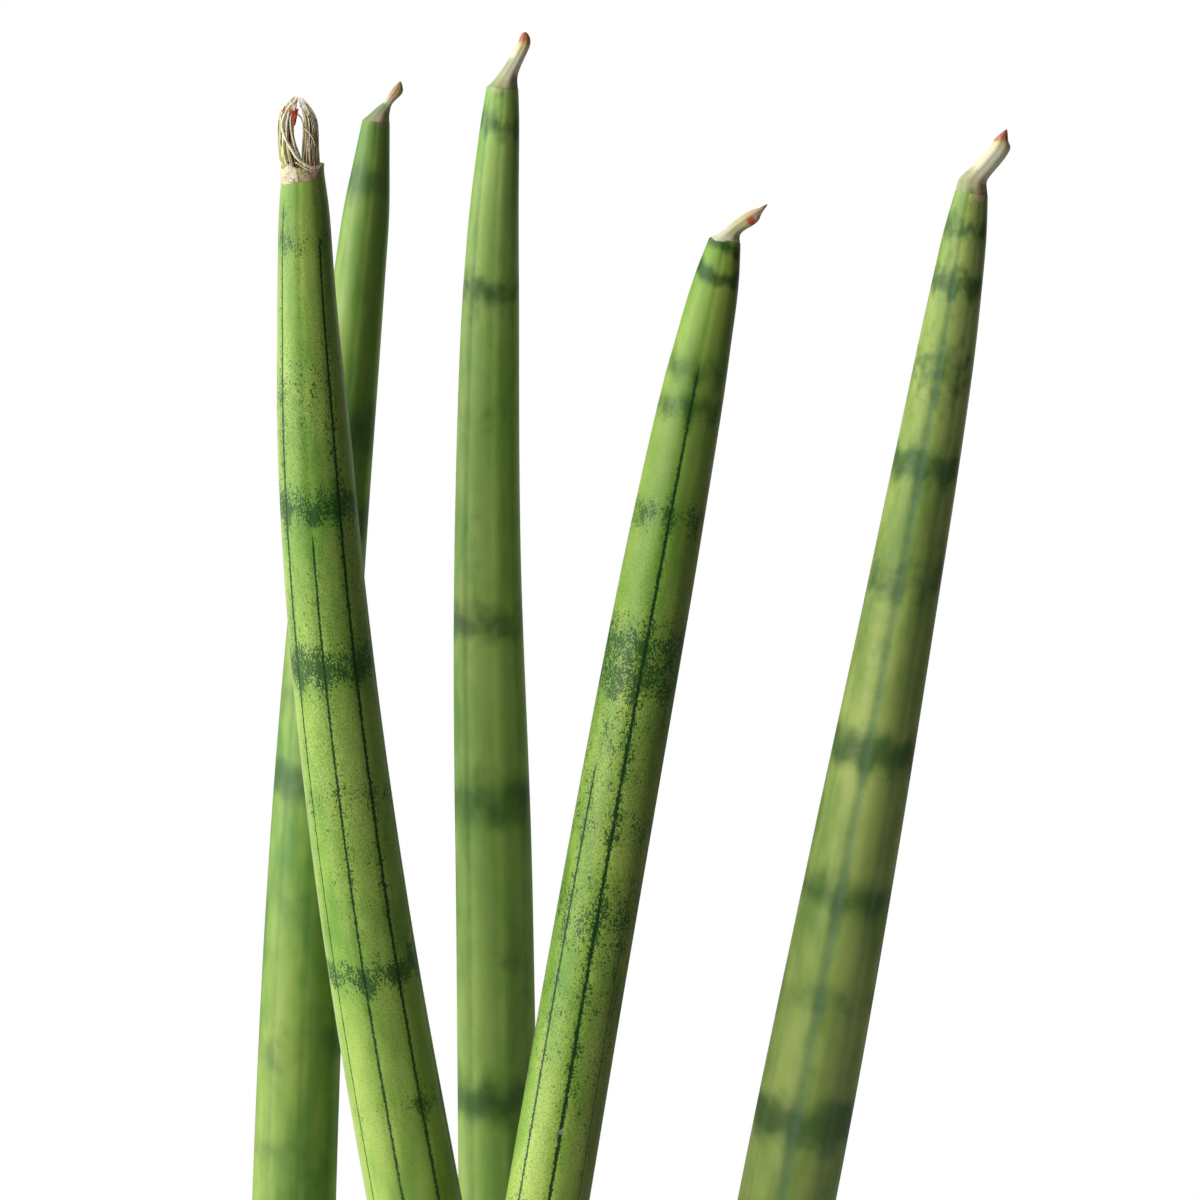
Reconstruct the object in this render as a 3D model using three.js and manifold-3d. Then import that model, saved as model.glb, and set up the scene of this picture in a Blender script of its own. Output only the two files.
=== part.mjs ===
// Potted cylindrical snake plant: round, grooved leaves with dried ends grow from a creeping
// rhizome in the soil of a plain clay pot.
// Units are millimetres, +Z is up, the front of the plant looks towards -Y, and the origin is
// the middle of the pot's base.

import * as THREE from "three";
import { mergeVertices } from "three/addons/utils/BufferGeometryUtils.js";
import Module from "manifold-3d";

// Pot: a clay flowerpot with a broad rim, its wall leaning outwards
const POT_HEIGHT = 150;
const POT_BASE_RADIUS = 57;
const POT_BODY_TOP_RADIUS = 77;
const RIM_HEIGHT = 38;
const RIM_LOW_RADIUS = 82;
const RIM_TOP_RADIUS = 85;
const RIM_ROUNDING = 3;
const RIM_UNDERCUT = 2;
const FOOT_CHAMFER = 1.5;
const POT_FLOOR = 10;
const INNER_BASE_RADIUS = 49;
const INNER_TOP_RADIUS = 77;
const POT_SIDES = 48;
const DRAIN_HOLES = 3;
const DRAIN_RADIUS = 5.5;
const DRAIN_CIRCLE_RADIUS = 28;

// Soil: its surface lies below the rim, rises a little to the middle and is lumpy
const SOIL_TOP = 132;
const SOIL_MOUND = 3;
const SOIL_LUMP = 1.6;
const SOIL_RINGS = 8;
const SOIL_SIDES = 36;
const SOIL_SIDE_PLAY = 0.45;
const EDGE_SHARE = 0.99;
const HOLE_SIDES = 16;
const HOLE_STEPS = 4;
const SEED = 7;

// Play between pieces that touch, and the distance below which points are one
const PLAY = 0.35;
const MERGE_DISTANCE = 1e-4;

// Leaves: all start at one depth in the soil, where they narrow to their neck
const LEAF_END_HEIGHT = 97;
const NECK_LENGTH = 30;
const NECK_SHARE = 0.62;
const RIBS = 8;
const POINTS_PER_RIB = 4;
const GROOVE_DEPTH = 0.6;
const FULL_GROOVE_RADIUS = 7;
const LEAF_STEPS = 16;
const TIP_CROWDING = 1.6;

// One entry a leaf. spine: points on its axis from the neck up. girth: its thickness over the ribs
// as [below the top, thickness]. turn is where the first groove lies, slant how far the green end
// rises per mm to the right. tip: the dried end's outline seen from the front, as
// [left x, left z, right x, right z], counted from the top of the spine.
const LEAVES = [
  {
    name: "front_left",
    spine: [
      [24, 4, LEAF_END_HEIGHT], [21.5, 3, 140], [6.5, -1, 232], [-11.3, -6, 331.5],
      [-23.6, -12, 413], [-31.7, -18, 492], [-35.1, -23, 560], [-35.7, -26, 599],
    ],
    girth: [
      [0, 10.4], [9, 12.4], [24, 13.9], [39, 15.4], [62, 18], [86, 19.4], [130, 21.1],
      [187, 22.8], [250, 24.2], [300, 24.8],
    ],
    turn: -13,
    slant: 0.44,
    color: 0x6f9a3c,
  },
  {
    name: "back_left",
    spine: [
      [-44, 14, LEAF_END_HEIGHT], [-48, 15.5, 140], [-47.8, 16.5, 230], [-44.5, 16, 324.5],
      [-40.1, 14.5, 406.7], [-33.1, 12.5, 495], [-24.2, 11, 572.7], [-19.7, 10, 610.6],
    ],
    girth: [
      [0, 7], [8, 8.7], [23, 11.8], [38, 13.1], [77, 16.2], [116, 18.6], [172, 20.6],
      [238, 21.8], [300, 22.6],
    ],
    turn: 8,
    slant: 0,
    color: 0x5f8a36,
    tip: [
      [-1.9, 1.6, 3.4, 1.3], [0.1, 3.4, 3.5, 2.6], [1.9, 4.4, 3.6, 3.4], [3, 5.3, 4.1, 4.6],
      [3.8, 6.6, 5, 5.5], [4.8, 8, 6.9, 7.2], [5.7, 9.2, 6.5, 9.1], [6.1, 10.1, 6.4, 10.1],
    ],
  },
  {
    name: "centre_back",
    spine: [
      [12, 33, LEAF_END_HEIGHT], [11, 34, 140], [10, 34.5, 230], [9.5, 34, 318.7],
      [8.9, 31.5, 402.7], [7.6, 28, 500.5], [9.4, 25.4, 579.5], [12.1, 24, 618.7],
    ],
    girth: [
      [0, 8.2], [8, 9.8], [24, 11.9], [40, 13.6], [63, 15.3], [118, 17.4], [183, 20],
      [241, 21], [300, 21.7],
    ],
    turn: 7,
    slant: 0,
    color: 0x5c8634,
    tip: [
      [-3.2, 0.9, 4, 1.2], [-2.1, 2, 4, 2.5], [0.1, 5, 4.4, 4.7], [2.5, 8.5, 5.7, 7.8],
      [4.1, 11.5, 7, 10.5], [4.8, 13.1, 7.3, 12], [5.3, 13.9, 6.9, 13.4], [5.7, 14.2, 6.2, 14.2],
    ],
  },
  {
    name: "front_right",
    spine: [
      [-13, -28, LEAF_END_HEIGHT], [-9.5, -29.5, 140], [5.3, -29, 230], [23.7, -24, 337],
      [34.2, -17.3, 398.5], [50.7, -6.6, 490], [60.9, -0.3, 543], [68.9, 4, 580.7],
    ],
    girth: [
      [0, 8.1], [7.5, 10.8], [15, 12.6], [23, 13.8], [39, 16], [62, 17.7], [93, 19.2],
      [155, 20.4], [250, 21.4], [300, 21.7],
    ],
    turn: 2,
    slant: 0,
    color: 0x668f3a,
    tip: [
      [-2.9, 1.3, 3.7, 0.4], [-1.1, 2.7, 3.7, 1.3], [0.5, 3.8, 4.1, 2.2], [2.2, 5, 5, 3],
      [5, 7.2, 7, 4.2], [6.9, 8, 8.3, 5.4], [8.4, 8.4, 9, 6.8], [9.4, 8.8, 9.6, 7.9],
      [10.7, 9.6, 10.9, 9.4],
    ],
  },
  {
    name: "far_right",
    spine: [
      [45, 11.5, LEAF_END_HEIGHT], [51.5, 12, 140], [69.5, 12.5, 230], [86.9, 12, 325.8],
      [98.6, 10.6, 391.5], [115.1, 8.4, 487.7], [125.3, 7, 550], [131.5, 6, 592.7],
    ],
    girth: [
      [0, 8.3], [5, 9.7], [12, 11.3], [28, 13.4], [43, 15], [75, 17.2], [106, 18.9],
      [171, 22.6], [237, 25.2], [300, 26],
    ],
    turn: -9,
    slant: 0,
    color: 0x6b9240,
    tip: [
      [-3.7, 2.7, 3.9, 2.2], [-3.3, 3.7, 4.2, 3.3], [-0.4, 6.8, 6, 5.9], [2.4, 9.4, 8.4, 8.4],
      [4.7, 12.5, 9.6, 10.4], [5.7, 13.7, 9.8, 12.5], [7.1, 15.2, 9.3, 14.6], [8.9, 16.7, 9.2, 16.7],
    ],
  },
];
const TIP_SIDES = 14;
const TIP_FIT = 0.97;
const TIP_FLATNESS = 0.82;

// Frayed end of the front left leaf: a papery collar and a cage of fibres in two bundles, which
// leave a window between them and meet in a knot at the top
const COLLAR_HEIGHT = 3.2;
const COLLAR_RAGGED = 0.6;
const COLLAR_SLANT = 0.3;
const COLLAR_WALL = 0.9;
const COLLAR_FLOOR = 1;
const COLLAR_SIDES = 24;
const FIBRES_PER_BUNDLE = 6;
const FIBRE_SPREAD = 64;
const FIBRE_RADIUS = 0.5;
const FIBRE_END_SHARE = 0.8;
const FIBRE_WANDER = 0.5;
const FIBRE_LEAN = 0.5;
const FIBRE_CROWDING = 1.4;
const FIBRE_SIDES = 5;
const FIBRE_STEPS = 6;
const CAGE_RADIUS = 5.15;
const CAGE_SHIFT = -0.4;
const CAGE_STRAIGHT = 8.2;
const CAGE_DOME = 8;
const CAGE_TOP = COLLAR_HEIGHT + CAGE_STRAIGHT + CAGE_DOME - 1.2;
const HUSK_HEIGHT = 8;
const HUSK_WALL = 0.7;
const HUSK_INSET = 0.3;
const HUSK_STEPS = 6;
const KNOT_RADIUS = 1.3;
const KNOT_SIDES = 8;
const SCRAP_WIDTH = 2.8;
const SCRAP_HEIGHT = 4;
const SCRAP_THICKNESS = 0.8;

// Rhizome: a creeping stem with two side shoots, a neck below each leaf, and roots
const RHIZOME_HEIGHT = 84;
const RHIZOME_RADIUS = 7;
const SHOOT_RADIUS = 6;
const RHIZOME_SIDES = 8;
const RHIZOME_RUN = [[-51, 13], [-44, 14], [-20, 6], [2, 5], [24, 4], [45, 11.5], [52, 14]];
const SHOOT_BACK = [[15, 5], [14, 18], [12, 33], [11, 38]];
const SHOOT_FRONT = [[-12, 5], [-14, -12], [-13, -28], [-12, -33]];
const STEM_END_SHARE = 0.55;
const STEM_RINGS_SWELL = 0.06;
const NECK_FIT = 0.95;
const NECK_FOOT_SHARE = 0.85;
const ROOTS = 9;
const ROOT_SIDES = 5;
const ROOT_STEPS = 4;
const ROOT_TOP_RADIUS = 1.5;
const ROOT_END_RADIUS = 0.7;
const ROOT_LOW = 26;
const ROOT_HIGH = 44;
const ROOT_SPREAD = 20;
const ROOT_LIMIT = 44;
const ROOT_BULGE = 6;
const ROOT_WANDER = 4;

const wasm = await Module();
wasm.setup();

// A repeatable draw between 0 and 1
function makeDraw(seed) {
  let state = seed;
  return () => {
    state = (state * 1664525 + 1013904223) % 4294967296;
    return state / 4294967296;
  };
}

const radians = (degrees) => (degrees * Math.PI) / 180;

// Closed body through rings of equally many points, with a fan over each end
function loft(rings) {
  const count = rings[0].length;
  const points = rings.flat();
  const faces = [];
  for (let r = 0; r + 1 < rings.length; r += 1) {
    for (let i = 0; i < count; i += 1) {
      const j = (i + 1) % count;
      const a = r * count;
      const b = a + count;
      faces.push(a + i, a + j, b + j, a + i, b + j, b + i);
    }
  }
  const middle = (ring) =>
    ring.reduce((sum, p) => sum.add(p), new THREE.Vector3()).divideScalar(count);
  const bottom = points.length;
  const top = bottom + 1;
  const last = (rings.length - 1) * count;
  points.push(middle(rings[0]), middle(rings[rings.length - 1]));
  for (let i = 0; i < count; i += 1) {
    const j = (i + 1) % count;
    faces.push(bottom, j, i, top, last + i, last + j);
  }
  const geometry = new THREE.BufferGeometry();
  const coordinates = points.flatMap((p) => p.toArray());
  geometry.setAttribute("position", new THREE.Float32BufferAttribute(coordinates, 3));
  geometry.setIndex(faces);
  return geometry;
}

// Bare shape of a geometry, its doubled points merged
function bareShape(geometry) {
  const bare = geometry.clone();
  bare.deleteAttribute("normal");
  bare.deleteAttribute("uv");
  return mergeVertices(bare, MERGE_DISTANCE);
}

// Join and cut work on solids, meshes on geometries
function toSolid(geometry) {
  const merged = bareShape(geometry);
  const index = merged.index.array;
  const kept = [];
  for (let i = 0; i < index.length; i += 3) {
    const [a, b, c] = [index[i], index[i + 1], index[i + 2]];
    if (a !== b && b !== c && c !== a) {
      kept.push(a, b, c);
    }
  }
  const mesh = new wasm.Mesh({
    numProp: 3,
    vertProperties: new Float32Array(merged.attributes.position.array),
    triVerts: new Uint32Array(kept),
  });
  return new wasm.Manifold(mesh);
}

function toGeometry(solid) {
  const mesh = solid.getMesh();
  const geometry = new THREE.BufferGeometry();
  geometry.setAttribute("position", new THREE.Float32BufferAttribute(mesh.vertProperties, 3));
  geometry.setIndex(Array.from(mesh.triVerts));
  geometry.computeVertexNormals();
  return geometry;
}

const joinAll = (geometries) => geometries.map(toSolid).reduce((a, b) => a.add(b));

// Fused fibres can shut small hollows in: only the outer skin of the body is kept
const filled = (solid) => solid.decompose().reduce((a, b) => (b.volume() > a.volume() ? b : a));

// Directions across a path: one stays in the plane that faces the front, the other lies behind it
function acrossPath(tangent) {
  const side = new THREE.Vector3(0, 1, 0).cross(tangent).normalize();
  const back = new THREE.Vector3().crossVectors(tangent, side).normalize();
  return { side, back };
}

// Round ring across a path
function ringAt(centre, tangent, sides, radius) {
  const { side, back } = acrossPath(tangent);
  return Array.from({ length: sides }, (_, i) => {
    const angle = (i / sides) * 2 * Math.PI;
    return centre.clone()
      .addScaledVector(side, radius * Math.cos(angle))
      .addScaledVector(back, radius * Math.sin(angle));
  });
}

// Round rod along a curve, its radius changing evenly from one end to the other
function taperedRod(curve, steps, sides, startRadius, endRadius) {
  const rings = [];
  for (let i = 0; i <= steps; i += 1) {
    const share = i / steps;
    const radius = startRadius + (endRadius - startRadius) * share;
    rings.push(ringAt(curve.getPointAt(share), curve.getTangentAt(share), sides, radius));
  }
  return loft(rings);
}

// Profile of [radius, height] pairs turned round the upright axis
function turned(profile, sides) {
  const points = profile.map(([r, z]) => new THREE.Vector2(r, z));
  return new THREE.LatheGeometry(points, sides).rotateX(Math.PI / 2);
}

const innerRadiusAt = (z) =>
  INNER_BASE_RADIUS + ((INNER_TOP_RADIUS - INNER_BASE_RADIUS) * (z - POT_FLOOR)) / (POT_HEIGHT - POT_FLOOR);

function makePot() {
  const rimLow = POT_HEIGHT - RIM_HEIGHT;
  const body = toSolid(turned([
    [0, 0],
    [POT_BASE_RADIUS - FOOT_CHAMFER, 0],
    [POT_BASE_RADIUS, FOOT_CHAMFER],
    [POT_BODY_TOP_RADIUS, rimLow],
    [RIM_LOW_RADIUS - RIM_UNDERCUT / 2, rimLow],
    [RIM_LOW_RADIUS, rimLow + RIM_UNDERCUT],
    [RIM_TOP_RADIUS, POT_HEIGHT - RIM_ROUNDING],
    [RIM_TOP_RADIUS - RIM_ROUNDING / 3, POT_HEIGHT - RIM_ROUNDING / 3],
    [RIM_TOP_RADIUS - RIM_ROUNDING, POT_HEIGHT],
    [INNER_TOP_RADIUS + RIM_ROUNDING / 2, POT_HEIGHT],
    [innerRadiusAt(POT_HEIGHT - RIM_ROUNDING), POT_HEIGHT - RIM_ROUNDING],
    [INNER_BASE_RADIUS, POT_FLOOR],
    [0, POT_FLOOR],
  ], POT_SIDES));
  return toGeometry(drainHoles().reduce((pot, hole) => pot.subtract(toSolid(hole)), body));
}

// The holes lie round the middle of the floor, which stays whole
function drainHoles() {
  return Array.from({ length: DRAIN_HOLES }, (_, i) => {
    const angle = radians(90 + (360 / DRAIN_HOLES) * i);
    const hole = new THREE.CylinderGeometry(DRAIN_RADIUS, DRAIN_RADIUS, POT_FLOOR * 2, HOLE_SIDES);
    const [x, y] = [Math.cos(angle), Math.sin(angle)].map((c) => c * DRAIN_CIRCLE_RADIUS);
    return hole.rotateX(Math.PI / 2).translate(x, y, POT_FLOOR / 2);
  });
}

const spineOf = (leaf) =>
  new THREE.CatmullRomCurve3(leaf.spine.map((p) => new THREE.Vector3(...p)), false, "centripetal");

// Value at a place on a smooth line through [place, value] pairs, constant past the last
function smoothBetween(pairs, at) {
  const last = pairs.length - 1;
  if (at >= pairs[last][0]) {
    return pairs[last][1];
  }
  const k = pairs.findIndex(([place]) => place > at) - 1;
  const slope = (i) => {
    const before = pairs[Math.max(i - 1, 0)];
    const after = pairs[Math.min(i + 1, last)];
    return (after[1] - before[1]) / (after[0] - before[0]);
  };
  const span = pairs[k + 1][0] - pairs[k][0];
  const t = (at - pairs[k][0]) / span;
  const rest = 1 - t;
  return pairs[k][1] * (1 + 2 * t) * rest ** 2 + slope(k) * span * t * rest ** 2
    + pairs[k + 1][1] * (3 - 2 * t) * t ** 2 - slope(k + 1) * span * rest * t ** 2;
}

// Radius over the ribs at a distance from the neck end, on a leaf of a given length
function leafRadius(leaf, along, length) {
  const thickness = smoothBetween(leaf.girth, Math.max(0, length - along));
  const neck = NECK_SHARE + (1 - NECK_SHARE) * THREE.MathUtils.smoothstep(along, 0, NECK_LENGTH);
  return (thickness / 2) * neck;
}

// Stations from the neck to the top, closer together towards the top
const leafStations = () =>
  Array.from({ length: LEAF_STEPS + 1 }, (_, i) => 1 - (1 - i / LEAF_STEPS) ** TIP_CROWDING);

// A narrow groove between two broad ribs, shallower towards the thin top
function grooveAt(leaf, angle, radius) {
  const share = ((angle - radians(leaf.turn - 90)) / (2 * Math.PI)) * RIBS;
  const distance = Math.abs(share - Math.round(share));
  const depth = GROOVE_DEPTH * Math.min(1, radius / FULL_GROOVE_RADIUS);
  return distance < 0.5 / POINTS_PER_RIB ? depth : 0;
}

function makeLeaf(leaf) {
  const spine = spineOf(leaf);
  const length = spine.getLength();
  const sides = RIBS * POINTS_PER_RIB;
  const rings = leafStations().map((share) => {
    const radius = leafRadius(leaf, share * length, length);
    const tangent = spine.getTangentAt(share);
    const section = sectionOf(leaf, spine.getPointAt(share), tangent, radius, sides);
    const rise = leaf.slant * Math.exp((-(1 - share) * length) / radius);
    return slanted(section, spine.getPointAt(share), tangent, rise);
  });
  return loft(rings);
}

// Grooved section whose points fall on the grooves, wherever the leaf is turned to
function sectionOf(leaf, centre, tangent, radius, sides) {
  const { side, back } = acrossPath(tangent);
  return Array.from({ length: sides }, (_, i) => {
    const angle = (i / sides) * 2 * Math.PI + radians(leaf.turn - 90);
    const reach = radius - grooveAt(leaf, angle, radius);
    return centre.clone()
      .addScaledVector(side, reach * Math.cos(angle))
      .addScaledVector(back, reach * Math.sin(angle));
  });
}

// Points of a ring pushed along the path by their place to the right
function slanted(ring, centre, tangent, rise) {
  const { side } = acrossPath(tangent);
  return ring.map((p) => p.clone().addScaledVector(tangent, rise * p.clone().sub(centre).dot(side)));
}

// Dried end: starts with the leaf's own thickness and bends over into a short horn. Its rings are
// ovals that reach from the left to the right of its outline.
function makeTip(leaf) {
  const spine = spineOf(leaf);
  const top = spine.getPointAt(1);
  const tangent = spine.getTangentAt(1);
  const start = top.clone().addScaledVector(tangent, PLAY);
  const foot = ringAt(start, tangent, TIP_SIDES, (leaf.girth[0][1] / 2) * TIP_FIT);
  const ovals = leaf.tip.map(([leftX, leftZ, rightX, rightZ]) => {
    const left = new THREE.Vector3(leftX, 0, leftZ).add(top);
    const half = new THREE.Vector3(rightX, 0, rightZ).add(top).sub(left).divideScalar(2);
    const depth = new THREE.Vector3(0, half.length() * TIP_FLATNESS, 0);
    return Array.from({ length: TIP_SIDES }, (_, i) => {
      const angle = (i / TIP_SIDES) * 2 * Math.PI;
      return left.clone().add(half)
        .addScaledVector(half, Math.cos(angle))
        .addScaledVector(depth, Math.sin(angle));
    });
  });
  return loft([foot, ...ovals]);
}

// Outline of the fibre cage: straight up, then closing in a dome
function cageRadius(height) {
  const over = Math.max(0, (height - CAGE_STRAIGHT) / CAGE_DOME);
  return CAGE_RADIUS * Math.sqrt(Math.max(0, 1 - over * over));
}

// Papery collar: an open cup with a ragged edge on the leaf's slanting top
function makeCollar(leaf, place) {
  const outer = (leaf.girth[0][1] / 2) * TIP_FIT;
  const ragged = (angle) => COLLAR_RAGGED * (Math.sin(3 * angle) + Math.sin(7 * angle + 1) / 2);
  const cup = (radius, low, high) => [low, high].map((height, i) =>
    Array.from({ length: COLLAR_SIDES }, (_, k) => {
      const angle = (k / COLLAR_SIDES) * 2 * Math.PI;
      const x = radius * Math.cos(angle);
      const rise = i === 0 ? leaf.slant * x : leaf.slant * x * COLLAR_SLANT + ragged(angle);
      return place(x, radius * Math.sin(angle), height + rise);
    }));
  const shell = toSolid(loft(cup(outer, PLAY, COLLAR_HEIGHT)));
  const inside = toSolid(loft(cup(outer - COLLAR_WALL, PLAY + COLLAR_FLOOR, COLLAR_HEIGHT * 2)));
  return shell.subtract(inside);
}

// Lowest level of the cage at a place to the right, inside the collar and over the leaf
const cageFoot = (leaf, x) => PLAY + COLLAR_FLOOR / 2 + leaf.slant * x;

// Place on the cage by its angle, distance from its own middle and height
const cagePlace = (place, angle, radius, height) =>
  place(CAGE_SHIFT + radius * Math.cos(angle), radius * Math.sin(angle), height);

// A fibre of the cage at an angle, from inside the collar's wall to the knot
function cageFibre(leaf, place, angle, lean, draw) {
  const foot = cageFoot(leaf, CAGE_RADIUS * Math.cos(angle)) + FIBRE_RADIUS;
  const points = Array.from({ length: FIBRE_STEPS + 1 }, (_, i) => {
    const share = 1 - (1 - i / FIBRE_STEPS) ** FIBRE_CROWDING;
    const height = foot + (CAGE_TOP - foot) * share;
    const inset = FIBRE_RADIUS + draw() * FIBRE_WANDER;
    const radius = Math.max(FIBRE_RADIUS, cageRadius(height - COLLAR_HEIGHT) - inset);
    return cagePlace(place, angle + lean * share, radius, height);
  });
  const curve = new THREE.CatmullRomCurve3(points, false, "centripetal");
  return toSolid(taperedRod(curve, FIBRE_STEPS, FIBRE_SIDES, FIBRE_RADIUS, FIBRE_RADIUS * FIBRE_END_SHARE));
}

// Strip of husk that still joins the lower fibres of a bundle
function cageHusk(leaf, place, middle) {
  const outside = CAGE_RADIUS - HUSK_INSET;
  const inside = outside - HUSK_WALL;
  const top = COLLAR_HEIGHT + HUSK_HEIGHT;
  const rings = Array.from({ length: HUSK_STEPS + 1 }, (_, i) => {
    const angle = middle + radians(FIBRE_SPREAD) * ((2 * i) / HUSK_STEPS - 1);
    const foot = cageFoot(leaf, outside * Math.cos(angle));
    return [[inside, top], [outside, top], [outside, foot], [inside, foot]]
      .map(([radius, height]) => cagePlace(place, angle, radius, height));
  });
  return toSolid(loft(rings));
}

// Torn flake that hangs from the knot into the window
function cageScrap(place) {
  const top = CAGE_TOP - KNOT_RADIUS;
  const outline = (y) => [
    [-SCRAP_WIDTH, top],
    [SCRAP_WIDTH / 5, top],
    [SCRAP_WIDTH / 6, top - SCRAP_HEIGHT * 0.4],
    [-SCRAP_WIDTH / 4, top - SCRAP_HEIGHT],
    [-SCRAP_WIDTH * 0.8, top - SCRAP_HEIGHT / 3],
  ].map(([x, z]) => place(CAGE_SHIFT + x, y, z));
  return toSolid(loft([outline(-SCRAP_THICKNESS / 2), outline(SCRAP_THICKNESS / 2)]));
}

function makeFrayedTip(leaf) {
  const spine = spineOf(leaf);
  const top = spine.getPointAt(1);
  const tangent = spine.getTangentAt(1);
  const { side, back } = acrossPath(tangent);
  const place = (x, y, z) => top.clone()
    .addScaledVector(side, x).addScaledVector(back, y).addScaledVector(tangent, z);
  const draw = makeDraw(SEED);
  const knot = new THREE.SphereGeometry(KNOT_RADIUS, KNOT_SIDES, KNOT_SIDES - 2)
    .translate(...place(CAGE_SHIFT, 0, CAGE_TOP).toArray());
  let tip = makeCollar(leaf, place).add(toSolid(knot)).add(cageScrap(place));
  for (const middle of [0, Math.PI]) {
    tip = tip.add(cageHusk(leaf, place, middle));
    for (let i = 0; i < FIBRES_PER_BUNDLE; i += 1) {
      const angle = middle + radians(FIBRE_SPREAD) * ((2 * i) / (FIBRES_PER_BUNDLE - 1) - 1);
      tip = tip.add(cageFibre(leaf, place, angle, (draw() - 0.5) * FIBRE_LEAN, draw));
    }
  }
  return toGeometry(filled(tip));
}

// Level stem through [x, y] points, ringed and with blunt ends
function creepingStem(points, radius, extra) {
  const places = points.map(([x, y]) => new THREE.Vector3(x, y, RHIZOME_HEIGHT));
  const curve = new THREE.CatmullRomCurve3(places, false, "centripetal");
  const steps = points.length * 2;
  const rings = Array.from({ length: steps + 1 }, (_, i) => {
    const share = i / steps;
    const end = Math.sign(i === steps) - Math.sign(i === 0);
    const thickness = end === 0 ? 1 + STEM_RINGS_SWELL * Math.cos(i * Math.PI) : STEM_END_SHARE;
    const centre = curve.getPointAt(share).addScaledVector(curve.getTangentAt(share), end * extra);
    return flatRing(centre, curve.getTangentAt(share), radius * thickness + extra);
  });
  return loft(rings);
}

// Short upright neck that carries a leaf
function leafNeck(leaf, extra) {
  const [x, y, z] = leaf.spine[0];
  const radius = leafRadius(leaf, 0, spineOf(leaf).getLength()) * NECK_FIT;
  const low = new THREE.Vector3(x, y, RHIZOME_HEIGHT);
  const high = new THREE.Vector3(x, y, z - PLAY - neckDip(leaf) + extra);
  return loft([upRing(low, radius * NECK_FOOT_SHARE + extra), upRing(high, radius + extra)]);
}

// Stem pieces of the rhizome; extra makes the same pieces larger all round, as room in the soil
const rhizomePieces = (extra) => [
  creepingStem(RHIZOME_RUN, RHIZOME_RADIUS, extra),
  creepingStem(SHOOT_BACK, SHOOT_RADIUS, extra),
  creepingStem(SHOOT_FRONT, SHOOT_RADIUS, extra),
  ...LEAVES.map((leaf) => leafNeck(leaf, extra)),
];

// How far the leaf's tilted lower face dips below its middle
function neckDip(leaf) {
  const spine = spineOf(leaf);
  const tangent = spine.getTangentAt(0);
  return leafRadius(leaf, 0, spine.getLength()) * Math.hypot(tangent.x, tangent.y);
}

// Ring upright across a level run
function flatRing(centre, tangent, radius) {
  const side = new THREE.Vector3(-tangent.y, tangent.x, 0).normalize();
  return Array.from({ length: RHIZOME_SIDES }, (_, i) => {
    const angle = (i / RHIZOME_SIDES) * 2 * Math.PI;
    return centre.clone()
      .addScaledVector(side, radius * Math.cos(angle))
      .add(new THREE.Vector3(0, 0, radius * Math.sin(angle)));
  });
}

// Level ring round an upright axis
const upRing = (centre, radius) =>
  Array.from({ length: RHIZOME_SIDES }, (_, i) => {
    const angle = (i / RHIZOME_SIDES) * 2 * Math.PI;
    return new THREE.Vector3(
      centre.x + radius * Math.cos(angle), centre.y + radius * Math.sin(angle), centre.z);
  });

// Roots start inside the stem, spread and run down
function rootPieces(extra) {
  const draw = makeDraw(SEED + 1);
  const starts = [...RHIZOME_RUN.slice(1, -1), SHOOT_BACK[2], SHOOT_FRONT[2]];
  return Array.from({ length: ROOTS }, (_, i) => {
    const [x, y] = starts[i % starts.length];
    const away = draw() * 2 * Math.PI;
    const low = ROOT_LOW + draw() * (ROOT_HIGH - ROOT_LOW);
    const end = new THREE.Vector2(x + ROOT_SPREAD * Math.cos(away), y + ROOT_SPREAD * Math.sin(away));
    end.clampLength(0, ROOT_LIMIT);
    const sideways = new THREE.Vector2(draw(), draw()).multiplyScalar(ROOT_WANDER);
    const middle = new THREE.Vector2(x, y).lerp(end, 0.7).add(sideways);
    const points = [
      new THREE.Vector3(x, y, RHIZOME_HEIGHT - ROOT_TOP_RADIUS),
      new THREE.Vector3(middle.x, middle.y, (RHIZOME_HEIGHT + low) / 2 + ROOT_BULGE),
      new THREE.Vector3(end.x, end.y, low - extra),
    ];
    const curve = new THREE.CatmullRomCurve3(points, false, "centripetal");
    return taperedRod(curve, ROOT_STEPS, ROOT_SIDES, ROOT_TOP_RADIUS + extra, ROOT_END_RADIUS + extra);
  });
}

const makeRhizome = () => toGeometry(joinAll([...rhizomePieces(0), ...rootPieces(0)]));

// Plain round hole for a leaf, open above the soil
function leafHole(leaf) {
  const spine = spineOf(leaf);
  const length = spine.getLength();
  const reachUp = (SOIL_TOP + SOIL_MOUND * 4 - LEAF_END_HEIGHT) / length;
  const rings = [];
  for (let i = 0; i <= HOLE_STEPS; i += 1) {
    const share = (i / HOLE_STEPS) * reachUp;
    const radius = (leafRadius(leaf, share * length, length) + PLAY) / Math.cos(Math.PI / HOLE_SIDES);
    const tangent = spine.getTangentAt(share);
    const centre = spine.getPointAt(share).addScaledVector(tangent, i === 0 ? -PLAY : 0);
    rings.push(ringAt(centre, tangent, HOLE_SIDES, radius));
  }
  return toSolid(loft(rings));
}

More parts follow.
